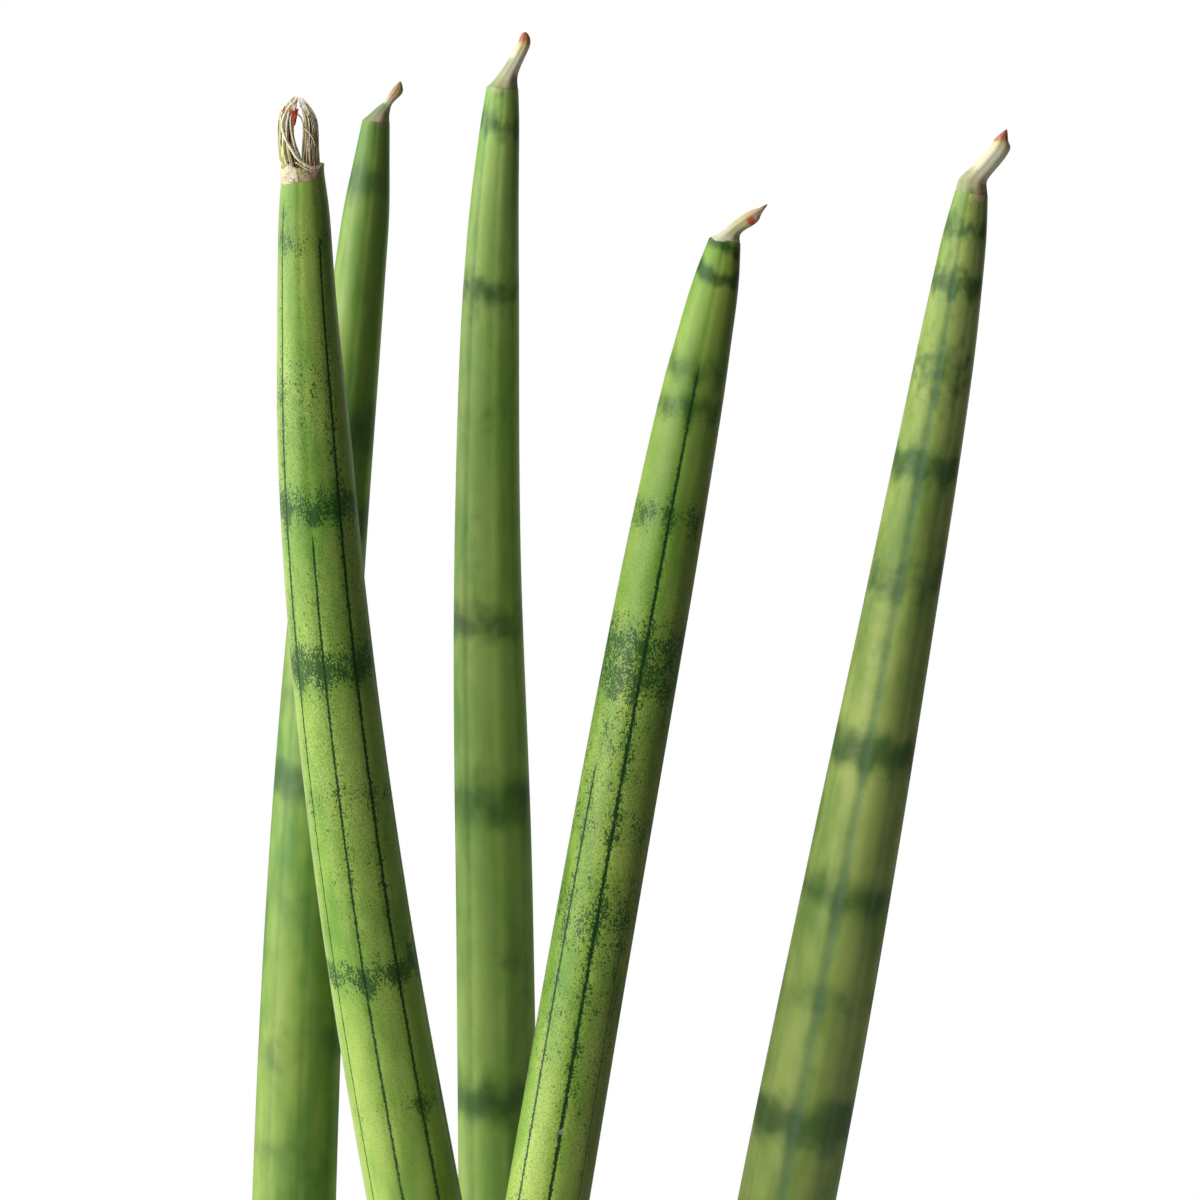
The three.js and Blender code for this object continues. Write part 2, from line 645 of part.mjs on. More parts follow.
// The soil fills the pot with play all round; its surface is domed and lumpy
function makeSoil() {
  const low = POT_FLOOR + PLAY;
  const edge = innerRadiusAt(SOIL_TOP) - SOIL_SIDE_PLAY;
  const profile = [[0, low], [innerRadiusAt(low) - SOIL_SIDE_PLAY, low], [edge, SOIL_TOP]];
  for (let i = SOIL_RINGS - 1; i >= 0; i -= 1) {
    profile.push([(edge * i) / SOIL_RINGS, SOIL_TOP]);
  }
  const body = bareShape(turned(profile, SOIL_SIDES));
  const places = body.attributes.position;
  const draw = makeDraw(SEED + 2);
  for (let i = 0; i < places.count; i += 1) {
    const out = Math.hypot(places.getX(i), places.getY(i)) / edge;
    if (places.getZ(i) === SOIL_TOP && out < EDGE_SHARE) {
      const lump = (draw() - 0.5) * SOIL_LUMP;
      places.setZ(i, SOIL_TOP + SOIL_MOUND * (1 - out * out) + lump);
    }
  }
  const room = joinAll([...rhizomePieces(PLAY), ...rootPieces(PLAY)]);
  const holes = LEAVES.map(leafHole).reduce((a, b) => a.add(b));
  return toGeometry(toSolid(body).subtract(room).subtract(holes));
}

function piece(name, geometry, color, roughness) {
  const material = new THREE.MeshStandardMaterial({ color, roughness, metalness: 0 });
  const mesh = new THREE.Mesh(geometry, material);
  mesh.name = name;
  return mesh;
}

const group = new THREE.Group();
group.add(piece("pot", makePot(), 0xb5643c, 0.85));
group.add(piece("soil", makeSoil(), 0x3a2a1e, 0.95));
group.add(piece("rhizome", makeRhizome(), 0xc98f55, 0.7));
for (const leaf of LEAVES) {
  group.add(piece(`leaf_${leaf.name}`, makeLeaf(leaf), leaf.color, 0.4));
  const tip = leaf.tip ? makeTip(leaf) : makeFrayedTip(leaf);
  group.add(piece(`dry_tip_${leaf.name}`, tip, 0xcdbb8c, 0.8));
}

export default group;
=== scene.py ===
# %% [markdown]
# A cylindrical snake plant in a clay pot, dressed for the camera.
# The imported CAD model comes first: it gives every piece its place and size, in metres, with +Z up
# and the front of the plant towards -Y. Each new piece is then modelled over its CAD piece.

# %% Load the frame
import math
import random

import bmesh
import bpy
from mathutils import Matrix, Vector
from mathutils.bvhtree import BVHTree
from mathutils.geometry import interpolate_bezier


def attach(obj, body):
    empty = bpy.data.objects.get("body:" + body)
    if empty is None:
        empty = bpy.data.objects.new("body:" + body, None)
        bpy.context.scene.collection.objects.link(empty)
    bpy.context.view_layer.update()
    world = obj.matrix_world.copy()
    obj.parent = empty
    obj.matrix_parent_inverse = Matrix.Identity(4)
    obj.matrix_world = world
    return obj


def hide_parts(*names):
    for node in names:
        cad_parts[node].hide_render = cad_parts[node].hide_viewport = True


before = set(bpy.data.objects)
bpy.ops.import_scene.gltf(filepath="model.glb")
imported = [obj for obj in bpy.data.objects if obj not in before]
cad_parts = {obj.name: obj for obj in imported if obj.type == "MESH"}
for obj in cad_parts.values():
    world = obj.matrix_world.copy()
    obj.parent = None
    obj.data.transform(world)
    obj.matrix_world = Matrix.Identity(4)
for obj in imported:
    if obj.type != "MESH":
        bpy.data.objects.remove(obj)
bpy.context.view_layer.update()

# %% [markdown]
# The camera stands a metre away and looks down by nine degrees, as the photograph does. A long lens
# keeps the leaves from fanning out. It is aimed a little to the right of the pot, at the upper part
# of the leaves, so that the frame cuts them off above the soil.

# %% Camera
def put(name, data):
    """Puts a new object with that data into the scene."""
    thing = bpy.data.objects.new(name, data)
    bpy.context.collection.objects.link(thing)
    return thing


camera_data = bpy.data.cameras.new("camera")
camera_data.lens = 117
camera_data.sensor_width = 36
camera = put("camera", camera_data)
camera.location = (0.03718, -0.98769, 0.64543)
camera.rotation_euler = (math.radians(90 - 9), 0, 0)
bpy.context.scene.camera = camera
print("camera at", tuple(camera.location))

# %% [markdown]
# Studio light. One very large softbox, like a window, stands on the left. It gives the left half of
# each leaf its broad pale sheen and leaves the right flank dark. A weak one behind draws a thin
# light rim along that flank, and one overhead lights the floor and the soil.

# %% Softboxes
def softbox(name, place, aim, width, height, watts, color=(1, 1, 1)):
    data = bpy.data.lights.new(name, "AREA")
    data.shape = "RECTANGLE"
    data.size = width
    data.size_y = height
    data.energy = watts
    data.color = color
    lamp = put(name, data)
    lamp.location = place
    lamp.rotation_euler = (Vector(aim) - Vector(place)).to_track_quat("-Z", "Y").to_euler()
    lamp.visible_camera = False
    return lamp


lamps = [softbox("window", (-1.25, -0.36, 0.85), (0.03, 0, 0.42), 2.2, 1.5, 42, (1, 0.985, 0.95)),
         softbox("rim", (0.5, 1.6, 0.9), (0.03, 0, 0.4), 2.0, 1.6, 6),
         softbox("overhead", (-0.3, 0.5, 2.2), (0.03, 0.1, 0), 1.4, 1.4, 20)]
print("lights", [lamp.name for lamp in lamps])

# %% [markdown]
# Materials and the backdrop are node graphs. To keep them readable, add() puts in a node, fills its
# inputs and gives back one of its outputs as a Wire, with which sums are written as usual. A colour
# is written as on the web, such as "a5c369".

# %% Node helpers
class Wire:
    """An output of a node. Each sum that is written with it adds a Math node."""

    def __init__(self, socket):
        self.socket = socket
        self.tree = socket.id_data

    def __add__(self, other):
        return maths("ADD", self, other)

    def __sub__(self, other):
        return maths("SUBTRACT", self, other)

    def __mul__(self, other):
        return maths("MULTIPLY", self, other)

    def __truediv__(self, other):
        return maths("DIVIDE", self, other)


def rgb(web):
    """The linear colour of a web colour."""
    parts = [int(web[i:i + 2], 16) / 255 for i in (0, 2, 4)]
    return (*[c / 12.92 if c <= 0.04045 else ((c + 0.055) / 1.055) ** 2.4 for c in parts], 1)


def plug(socket, value):
    """Links a wire to the socket, or sets it to a number, a vector or a web colour."""
    if isinstance(value, Wire):
        value.tree.links.new(value.socket, socket)
    else:
        socket.default_value = rgb(value) if isinstance(value, str) else value


def add(tree, kind, output, settings=None, *values, **named):
    """Adds a node, fills its inputs in their order and by their names, and gives one output."""
    node = tree.nodes.new("ShaderNode" + kind)
    for key, value in (settings or {}).items():
        setattr(node, key, value)
    for socket, value in zip(node.inputs, values):
        plug(socket, value)
    for key, value in named.items():
        plug(node.inputs[key.replace("_", " ")], value)
    return Wire(node.outputs[output])


def maths(operation, *values):
    tree = next(value.tree for value in values if isinstance(value, Wire))
    return add(tree, "Math", "Value", {"operation": operation}, *values)


# %% [markdown]
# The backdrop. The world is white to the camera, as a lit backdrop is, and dim to everything else,
# so the dark flanks of the leaves can stay dark.

# %% Backdrop
WHITE = (1, 1, 1, 1)
ROOM_COLOR = (1, 0.98, 0.95, 1)
ROOM_LIGHT = 0.055

world = bpy.data.worlds.new("studio")
world.use_nodes = True
bpy.context.scene.world = world
bpy.context.scene.view_settings.view_transform = "Standard"
backdrop = world.node_tree
backdrop.nodes.remove(backdrop.nodes["Background"])
seen = add(backdrop, "Background", 0, Color=WHITE, Strength=1.0)
given = add(backdrop, "Background", 0, Color=ROOM_COLOR, Strength=ROOM_LIGHT)
for_camera = add(backdrop, "LightPath", "Is Camera Ray")
either = add(backdrop, "MixShader", 0, None, for_camera, given, seen)
plug(backdrop.nodes["World Output"].inputs["Surface"], either)
print("backdrop nodes", len(backdrop.nodes))

# %% [markdown]
# A material starts with its places: Object coordinates, or an attribute noted on the mesh where the
# pattern follows the surface. Noises, smooth steps and mixed colours build on them, and shade()
# plugs the result into the shader.

# %% Material helpers
def noted(tree, attribute, output="Fac"):
    """What is noted on the points of the mesh under that name."""
    return add(tree, "Attribute", output, {"attribute_name": attribute})


def start_material(name, attribute=None):
    """A new material, and its places from the attribute or the Object coordinates."""
    material = bpy.data.materials.new(name)
    material.use_nodes = True
    tree = material.node_tree
    if attribute:
        return material, noted(tree, attribute, "Vector")
    return material, add(tree, "TexCoord", "Object")


def shade(material, **inputs):
    """Plugs wires, numbers and colours into the material's shader."""
    shader = material.node_tree.nodes["Principled BSDF"]
    for key, value in inputs.items():
        plug(shader.inputs[key.replace("_", " ")], value)
    return material


def bump(height, distance):
    """A relief of that depth in metres, for the shader's Normal."""
    return add(height.tree, "Bump", "Normal", Height=height, Distance=distance)


def part(vector, axis):
    return add(vector.tree, "SeparateXYZ", axis, None, vector)


def mixed(factor, first, second, blend="MIX"):
    result = add(factor.tree, "Mix", 2, {"data_type": "RGBA", "blend_type": blend})
    for socket, value in ((0, factor), (6, first), (7, second)):
        plug(result.socket.node.inputs[socket], value)
    return result


def between(value, low, high):
    """0 below low, 1 above high, smooth in between; high may be the smaller one."""
    return add(value.tree, "MapRange", "Result", {"interpolation_type": "SMOOTHSTEP"}, value, low, high)


def colours(factor, stops):
    """A colour that runs through the stops, each a place from 0 to 1 and a web colour."""
    color = add(factor.tree, "ValToRGB", "Color", None, factor)
    ramp = color.socket.node.color_ramp
    while len(ramp.elements) < len(stops):
        ramp.elements.new(1)
    for element, (place, web) in zip(ramp.elements, stops):
        element.position = place
        element.color = rgb(web)
    return color


def noise(place, scale, detail=2.0, roughness=0.5, stretch=(1, 1, 1)):
    """Soft noise between 0 and 1; scale is in patches per metre."""
    mapped = add(place.tree, "Mapping", "Vector", Vector=place, Scale=stretch)
    return add(place.tree, "TexNoise", "Fac", Vector=mapped, Scale=scale, Detail=detail,
               Roughness=roughness)


def weighed(value, weight):
    """How far a noise is above or below its middle, times a weight."""
    return (value - 0.5) * weight


# %% [markdown]
# Modelling helpers. An operator acts on whatever is selected, so each step first selects exactly
# what it should act on: the piece in object mode, or its points, edges or faces in edit mode.

# %% Modelling helpers
def deselect_all():
    bpy.ops.object.select_all(action="DESELECT")


def only(piece):
    deselect_all()
    piece.select_set(True)
    bpy.context.view_layer.objects.active = piece


def begin(name, primitive, **settings):
    """Adds a primitive with nothing else selected, and names it."""
    deselect_all()
    primitive(**settings)
    piece = bpy.context.object
    piece.name = piece.data.name = name
    return piece


def disc(name, sides, radius, **settings):
    return begin(name, bpy.ops.mesh.primitive_circle_add, vertices=sides, radius=radius,
                 fill_type="NGON", **settings)


def pick_all():
    bpy.ops.mesh.select_mode(type="FACE")
    bpy.ops.mesh.select_all(action="SELECT")


def edit(piece):
    """Goes into edit mode, with all faces selected."""
    only(piece)
    bpy.ops.object.mode_set(mode="EDIT")
    pick_all()


def pick(piece, test, kind="VERT"):
    """In edit mode, selects the points or edges that pass the test, and nothing else."""
    bpy.ops.mesh.select_mode(type=kind)
    bpy.ops.mesh.select_all(action="DESELECT")
    shape = bmesh.from_edit_mesh(piece.data)
    for element in shape.verts if kind == "VERT" else shape.edges:
        if test(element):
            element.select_set(True)
    shape.select_flush_mode()
    bmesh.update_edit_mesh(piece.data)


def extrude(move):
    bpy.ops.mesh.extrude_region_move(TRANSFORM_OT_translate={"value": move})


def resize(shares, centre=(0, 0, 0)):
    bpy.ops.transform.resize(value=shares, center_override=centre)


def leave_edit():
    bpy.ops.object.mode_set(mode="OBJECT")


def face_outwards():
    """In edit mode, turns all faces outwards and then leaves it."""
    pick_all()
    bpy.ops.mesh.normals_make_consistent(inside=False)
    leave_edit()


def settle(piece):
    """Puts the object at the origin, unturned and unscaled, with its place in its mesh."""
    only(piece)
    bpy.ops.object.transform_apply(location=True, rotation=True, scale=True)


def apply_modifier(piece, name, kind, **settings):
    only(piece)
    modifier = piece.modifiers.new(name, kind)
    for key, value in settings.items():
        setattr(modifier, key, value)
    bpy.ops.object.modifier_apply(modifier=name)


def round_off(piece, levels):
    apply_modifier(piece, "Round", "SUBSURF", levels=levels, render_levels=levels)


def smooth(piece, degrees=60):
    only(piece)
    bpy.ops.object.shade_smooth_by_angle(angle=math.radians(degrees))


# %% [markdown]
# The leaves. On the plant each leaf is a round rod with eight shallow grooves, thinning to a
# withered point, and slightly bowed. It could be extruded ring by ring along its bow, but then the
# markings would need unbending. Here it is modelled straight, as a grooved rod, its place along
# the leaf is noted on every point, and a Curve modifier then bends and tapers it: the curve's
# points give the path, and their radius gives the thickness.

# %% Leaf sizes
MM = 0.001

# spine: points on the axis from the neck up. girth: (below the top, thickness). turn: angle of the
# first groove from the front, in degrees. slant: rise of the green's end to the right, per
# millimetre. All lengths are in millimetres.
LEAVES = {
    "front_left": {
        "spine": [(24, 4, 97), (21.5, 3, 140), (6.5, -1, 232), (-11.3, -6, 331.5),
                  (-23.6, -12, 413), (-31.7, -18, 492), (-35.1, -23, 560), (-35.7, -26, 599)],
        "girth": [(0, 10.4), (9, 12.4), (24, 13.9), (39, 15.4), (62, 18), (86, 19.4), (130, 21.1),
                  (187, 22.8), (250, 24.2), (300, 24.8)],
        "turn": -9,
        "slant": 0.44,
    },
    "back_left": {
        "spine": [(-44, 14, 97), (-48, 15.5, 140), (-47.8, 16.5, 230), (-44.5, 16, 324.5),
                  (-40.1, 14.5, 406.7), (-33.1, 12.5, 495), (-24.2, 11, 572.7), (-19.7, 10, 610.6)],
        "girth": [(0, 7), (8, 8.7), (23, 11.8), (38, 13.1), (77, 16.2), (116, 18.6), (172, 20.6),
                  (238, 21.8), (300, 22.6)],
        "turn": 8,
    },
    "centre_back": {
        "spine": [(12, 33, 97), (11, 34, 140), (10, 34.5, 230), (9.5, 34, 318.7),
                  (8.9, 31.5, 402.7), (7.6, 28, 500.5), (9.4, 25.4, 579.5), (12.1, 24, 618.7)],
        "girth": [(0, 8.2), (8, 9.8), (24, 11.9), (40, 13.6), (63, 15.3), (118, 17.4), (183, 20),
                  (241, 21), (300, 21.7)],
        "turn": 7,
    },
    "front_right": {
        "spine": [(-13, -28, 97), (-9.5, -29.5, 140), (5.3, -29, 230), (23.7, -24, 337),
                  (34.2, -17.3, 398.5), (50.7, -6.6, 490), (60.9, -0.3, 543), (68.9, 4, 580.7)],
        "girth": [(0, 8.1), (7.5, 10.8), (15, 12.6), (23, 13.8), (39, 16), (62, 17.7), (93, 19.2),
                  (155, 20.4), (250, 21.4), (300, 21.7)],
        "turn": 2,
    },
    "far_right": {
        "spine": [(45, 11.5, 97), (51.5, 12, 140), (69.5, 12.5, 230), (86.9, 12, 325.8),
                  (98.6, 10.6, 391.5), (115.1, 8.4, 487.7), (125.3, 7, 550), (131.5, 6, 592.7)],
        "girth": [(0, 8.3), (5, 9.7), (12, 11.3), (28, 13.4), (43, 15), (75, 17.2), (106, 18.9),
                  (171, 22.6), (237, 25.2), (300, 26)],
        "turn": -13,
    },
}
NECK_LENGTH = 30
NECK_SHARE = 0.62


def share_of(length, whole):
    """How much of the whole the length is, kept between 0 and 1."""
    return min(1, max(0, length / whole))


def smooth_between(pairs, at):
    """Height at a place of a smooth line through (place, height) pairs."""
    if at >= pairs[-1][0]:
        return pairs[-1][1]
    k = max(i for i, pair in enumerate(pairs) if pair[0] <= at)

    def slope(i):
        a, b = pairs[max(i - 1, 0)], pairs[min(i + 1, len(pairs) - 1)]
        return (b[1] - a[1]) / (b[0] - a[0])

    span = pairs[k + 1][0] - pairs[k][0]
    t = (at - pairs[k][0]) / span
    return (pairs[k][1] * (1 + 2 * t) * (1 - t) ** 2 + slope(k) * span * t * (1 - t) ** 2
            + pairs[k + 1][1] * (3 - 2 * t) * t ** 2 - slope(k + 1) * span * (1 - t) * t ** 2)


def leaf_radius(leaf, below, length):
    """Radius over the ribs, in millimetres, at a distance below the top."""
    t = share_of(length - below, NECK_LENGTH)
    neck = NECK_SHARE + (1 - NECK_SHARE) * t * t * (3 - 2 * t)
    return smooth_between(leaf["girth"], max(0, below)) / 2 * neck


print("leaves", list(LEAVES))

# %% [markdown]
# The spine of a leaf is a smooth curve through a few points. The tangent at each point is weighed
# by the square roots of the distances to its neighbours, which keeps the curve from overshooting.
# The finished curve gets a point every four millimetres, each with its radius, as a share of the
# straight rod's.

# %% Spines
ROD_RADIUS = 0.010


def spine_places(points, spacing=4):
    """Places on a smooth curve through the points, all in millimetres."""
    knots = [Vector(p) for p in points]
    knots = [2 * knots[0] - knots[1], *knots, 2 * knots[-1] - knots[-2]]
    tangents = {}
    for i in range(1, len(knots) - 1):
        back, ahead = knots[i] - knots[i - 1], knots[i + 1] - knots[i]
        a, b = math.sqrt(back.length), math.sqrt(ahead.length)
        tangents[i] = back / a - (back + ahead) / (a + b) + ahead / b
    places = []
    for i in range(1, len(knots) - 2):
        start, end = knots[i], knots[i + 1]
        reach = math.sqrt((end - start).length) / 3
        steps = math.ceil((end - start).length / spacing)
        run = interpolate_bezier(start, start + tangents[i] * reach,
                                 end - tangents[i + 1] * reach, end, steps + 1)
        places += run[:-1]
    return places + [knots[-2]]


def lengths_along(places):
    run = [0.0]
    for a, b in zip(places, places[1:]):
        run.append(run[-1] + (b - a).length)
    return run


def add_spline(data, places, radii):
    """Adds a run of straight stretches to a curve."""
    spline = data.splines.new("POLY")
    spline.points.add(len(places) - 1)
    for point, place, radius in zip(spline.points, places, radii):
        point.co = (*place, 1)
        point.radius = radius


def spine_curve(name, leaf):
    run = lengths_along(leaf["places"])
    data = bpy.data.curves.new(name, "CURVE")
    data.dimensions = "3D"
    data.twist_mode = "MINIMUM"
    data.use_radius = True
    add_spline(data, [place * MM for place in leaf["places"]],
               [leaf_radius(leaf, run[-1] - along, run[-1]) * MM / ROD_RADIUS for along in run])
    return put(name, data)


for name, leaf in LEAVES.items():
    leaf["places"] = spine_places(leaf["spine"])
    leaf["length"] = lengths_along(leaf["places"])[-1]
    print(name, "is", round(leaf["length"], 1), "mm long")

# %% [markdown]
# The straight rod starts as a flat disc with ninety-six corners. Every twelfth corner and its
# neighbours are scaled towards the axis, which makes the eight grooves, and the disc is extruded
# to the leaf's length. Cuts across the long edges then let it bend. On the front left leaf the
# green part ends on a slant. Shear would tilt its top ring, but that operator needs a window, so
# each corner of the ring is lifted by its place instead, before the cuts are made.

# %% Straight grooved rod
RING_POINTS = 96
RIBS = 8
GROOVE_STEPS = (0.986, 0.992, 0.998)
LENGTH_CUTS = (100, 2)
LONG_EDGE = 0.001


def groove_distance(corner):
    """Steps of the ring between a corner and the nearest groove."""
    step = math.atan2(corner.co.y, corner.co.x) / (2 * math.pi) * RING_POINTS
    per_rib = RING_POINTS // RIBS
    return abs(step - per_rib * round(step / per_rib))


def straight_rod(name, length, slant, uphill):
    rod = disc(name, RING_POINTS, ROD_RADIUS)
    edit(rod)
    for step, share in enumerate(GROOVE_STEPS):
        pick(rod, lambda corner: abs(groove_distance(corner) - step) < 0.5)
        resize((share, share, 1))
    pick_all()
    extrude((0, 0, length))
    shape = bmesh.from_edit_mesh(rod.data)
    for corner in shape.verts:
        if corner.select:
            corner.co.z += slant * (corner.co.x * uphill[0] + corner.co.y * uphill[1])
    bmesh.update_edit_mesh(rod.data)
    for cuts in LENGTH_CUTS:
        pick(rod, lambda e: abs(e.verts[0].co.z - e.verts[1].co.z) > LONG_EDGE, "EDGE")
        bpy.ops.mesh.subdivide(number_cuts=cuts)
    face_outwards()
    return rod


# %% [markdown]
# The markings grow with the leaf: dark lines in some of the grooves, and cross-bands of fine dark
# specks. They follow the leaf's own directions, so every point of the straight rod notes where it
# is on the leaf, how strong a band is there and how wide the line in its groove is. The material
# turns these numbers into specks and lines.

# %% Markings on the rod
# bands: (below the top, half height, strength), and for some how far they hang down and at which
# angle. lines: groove -> (starts below the top, width), and for some the width further down. Grooves
# are counted from the front one to the right; all lengths are in millimetres.
MARKS = {
    "front_left": {
        "bands": [(16, 3, 0.55), (53, 15, 0.3), (82, 5.2, 1), (99, 18, 0.16), (123, 5.6, 1),
                  (157, 5, 0.5), (175, 16, 0.2), (204, 5, 1), (241, 6, 0.45), (283, 7, 0.95),
                  (318, 6, 0.6), (358, 7, 1), (401, 7, 0.7), (440, 7, 0.9)],
        "lines": {0: (88, 0.78), 1: (14, 1.05), 7: (5, 1.1, 0.55), 2: (60, 0.8), 3: (30, 0.6),
                  4: (110, 0.9), 5: (40, 0.5), 6: (75, 0.9)},
    },
    "back_left": {
        "bands": [(15, 5, 0.85), (79, 7, 1.1), (102, 7, 1.05), (147, 8, 0.5), (171, 6, 1.1),
                  (204, 8, 0.5), (243, 9, 0.5), (273, 7, 0.4), (315, 9, 0.9), (362, 8, 0.7),
                  (405, 9, 0.9), (448, 8, 0.7)],
        "lines": {0: (60, 0.4), 1: (30, 1.3), 7: (90, 0.4), 2: (20, 1.6), 3: (70, 1.2),
                  4: (50, 1.0), 5: (100, 1.2), 6: (120, 0.8)},
    },
    "centre_back": {
        "bands": [(8.5, 3.4, 0.9, 2, 60), (51.5, 5.5, 0.74), (86, 8, 0.3), (139, 6, 0.92),
                  (187, 8, 0.85), (229, 8, 0.3), (270, 7, 0.95), (312, 8, 0.7), (356, 8, 0.9),
                  (398, 8, 0.7), (444, 9, 0.9)],
        "lines": {0: (12, 0), 1: (6, 0.8), 7: (8, 0.9), 2: (40, 1.4), 3: (60, 1.0),
                  4: (30, 1.3), 5: (80, 1.0), 6: (50, 1.2)},
    },
    "front_right": {
        "bands": [(0.2, 2.2, 1.2, 2.6, 70), (7.2, 2.3, 1.3, 2.8, 10), (33, 6, 0.8), (43, 5, 0.8),
                  (71, 6, 0.64), (105, 9, 0.84), (112, 8, 0.84), (132, 16, 0.42), (151, 8, 0.52),
                  (174, 12, 0.6), (203, 20, 0.36), (262, 9, 0.9), (300, 8, 0.6), (340, 9, 1),
                  (385, 8, 0.7), (428, 9, 0.9)],
        "lines": {0: (32, 1.2), 1: (160, 0.3), 7: (135, 0.9), 2: (100, 0.7), 3: (60, 0.9),
                  4: (80, 1.1), 5: (120, 0.6), 6: (50, 0.8)},
    },
    "far_right": {
        "bands": [(9, 3.4, 0.75), (23, 4.4, 1), (45, 7, 0.62), (70, 4.4, 1.05), (99, 9, 0.66),
                  (145, 6, 1.1), (184, 6, 0.85), (212, 6, 0.55), (246, 7, 1.1), (291, 8, 0.8),
                  (333, 8, 0.6), (372, 8, 1), (414, 8, 0.7), (450, 8, 0.9)],
        "lines": {0: (16, 2.5), 1: (60, 0.6), 7: (90, 0.4), 2: (50, 1.6), 3: (90, 1.2),
                  4: (40, 1.6), 5: (70, 1), 6: (110, 1.2)},
    },
}
BAND_DROP = 1.6
FULL_DROP_BELOW = 25
WIDTH_CHANGES_BELOW = 100
WIDTH_CHANGES_OVER = 60
LINE_STARTS_OVER = 4


def nearest_step(angle, steps):
    """Which of so many equal steps round a circle is the nearest."""
    return round(angle / (2 * math.pi) * steps) % steps


def note(piece, name, values):
    """Notes a number, or three for a vector, on every point of a mesh."""
    single = len(values) == len(piece.data.vertices)
    found = piece.data.attributes.new(name, "FLOAT" if single else "FLOAT_VECTOR", "POINT")
    found.data.foreach_set("value" if single else "vector", values)


def band_strength(marks, below, angle):
    """Strength of the strongest band there; bands hang lower at the grooves."""
    near_groove = math.cos(angle * RIBS) / 2 + 0.5
    drop = BAND_DROP * (near_groove - 0.3) * min(1, below / FULL_DROP_BELOW)
    found = 0
    for middle, half, strength, *hang in marks["bands"]:
        amount, side = hang or (0, 0)
        low = middle + drop + amount * max(0, math.cos(angle - math.radians(side)))
        off = (below - low) / half
        found = max(found, strength * math.exp(-off * off))
    return found


def line_width(marks, below, angle):
    """Width of the line in the nearest groove, in millimetres."""
    start, width, *low = marks["lines"][nearest_step(angle, RIBS)]
    if low:
        width += (low[0] - width) * share_of(below - WIDTH_CHANGES_BELOW, WIDTH_CHANGES_OVER)
    return width * share_of(below - start, LINE_STARTS_OVER)


def note_marks(rod, leaf, marks):
    """Notes leaf_space, band and line_width on the points of the straight rod."""
    space, bands, lines = [], [], []
    for point in rod.data.vertices:
        x, y, z = point.co
        below = leaf["length"] - z / MM
        angle = math.atan2(y, x)
        space += [x, y, below * MM]
        bands.append(band_strength(marks, below, angle))
        lines.append(line_width(marks, below, angle) * MM)
    note(rod, "leaf_space", space)
    note(rod, "band", bands)
    note(rod, "line_width", lines)


# %% [markdown]
# Bending. The Curve modifier lays the rod's length along the spine. It turns the rod so that its
# first column points a quarter turn away from the way the spine leans, so the rod is rolled
# beforehand by what brings groove 0 to its true place.

# %% Bend the rods into leaves
def make_leaf(name, leaf):
    right = math.radians(90 - leaf["turn"])
    slant = leaf.get("slant", 0) * leaf["girth"][0][1] / 2 * MM / ROD_RADIUS
    rod = straight_rod("grooved_leaf_" + name, leaf["length"] * MM, slant,
                       (math.cos(right), math.sin(right)))
    note_marks(rod, leaf, MARKS[name])
    lean = Vector(leaf["spine"][1]) - Vector(leaf["spine"][0])
    rod.rotation_euler.z = math.radians(leaf["turn"] - 180) - math.atan2(lean.y, lean.x)
    settle(rod)
    spine = spine_curve("spine_" + name, leaf)
    apply_modifier(rod, "Bend", "CURVE", object=spine, deform_axis="POS_Z")
    bpy.data.objects.remove(spine)
    smooth(rod, 50)
    return rod


leaf_pieces = {name: make_leaf(name, leaf) for name, leaf in LEAVES.items()}
print("bent", len(leaf_pieces), "leaves")

# %% [markdown]
# How a leaf is marked. The specks are a fine noise that is let through where a band is strong,
# broken up by a coarser noise, so that a band has the clouded, crumbly edge of the real one. The
# front leaves are marked finely. Those further from the front, and one end of each front leaf, are
# marked more softly and broadly, as they are less sharp in the photograph.

# %% Kinds of marking
# speck, clump: sizes in patches per metre. weight: of the specks against the clumps. band: weight of
# the bands. base, soft: the level that shows as dark, and the softness of its edge. depth: strength
# of the colour. stretch: less than 1 is longer along the leaf. detail: of the clumps. stipple: dots
# between the bands. beside: specks beside the lines. line_soft, line, line_breaks: the lines'
# softness in metres, strength, and how broken they are. sharp: from which distance below the top,
# in metres, to which it all goes from soft to sharp.
FINE = dict(speck=2200, clump=430, weight=5.4, base=1.08, band=1.47, soft=0.12, color="0e4814",
            depth=0.86, stretch=0.7, detail=3, stipple=0.55, beside=0.35, line_soft=0.00014,
            line=0.97, line_breaks=0.0)
FINE_HIGH = dict(FINE, sharp=(0.38, 0.12))
FINE_LOW = dict(FINE, sharp=(0.02, 0.105))
BROAD = dict(speck=300, clump=160, weight=0.6, base=0.88, band=1.45, soft=0.8, color="4a7036",
             depth=0.9, stretch=1.2, detail=1.5, stipple=0.15, beside=0.08, line_soft=0.0019,
             line=0.5, line_breaks=0.3, sharp=(0.32, -0.1))
BROADEST = dict(BROAD, color="3b5f2e", sharp=(0.2, -0.2))
MIDDLE = dict(BROAD, speck=420, clump=230, weight=0.8, soft=0.85, beside=0.14, color="42682e",
              line_soft=0.0016, line=0.6, line_breaks=0.2, sharp=(0.22, -0.03))
print("speck sizes", [round(1 / kind["speck"] / MM, 1) for kind in (FINE, MIDDLE, BROAD)], "mm")

# %% [markdown]
# The unmarked skin runs from yellow-green to a deeper green in long soft streaks and clouds. Some
# sides are painted paler as painted light, and the right flanks darker as painted shade; some
# stretches get a soft wash of another green. The dark lines are drawn by the distance to the nearest
# groove, in metres round the leaf.

# %% Parts of the leaf skin
GREEN_OF_STIPPLE = "3c7a26"


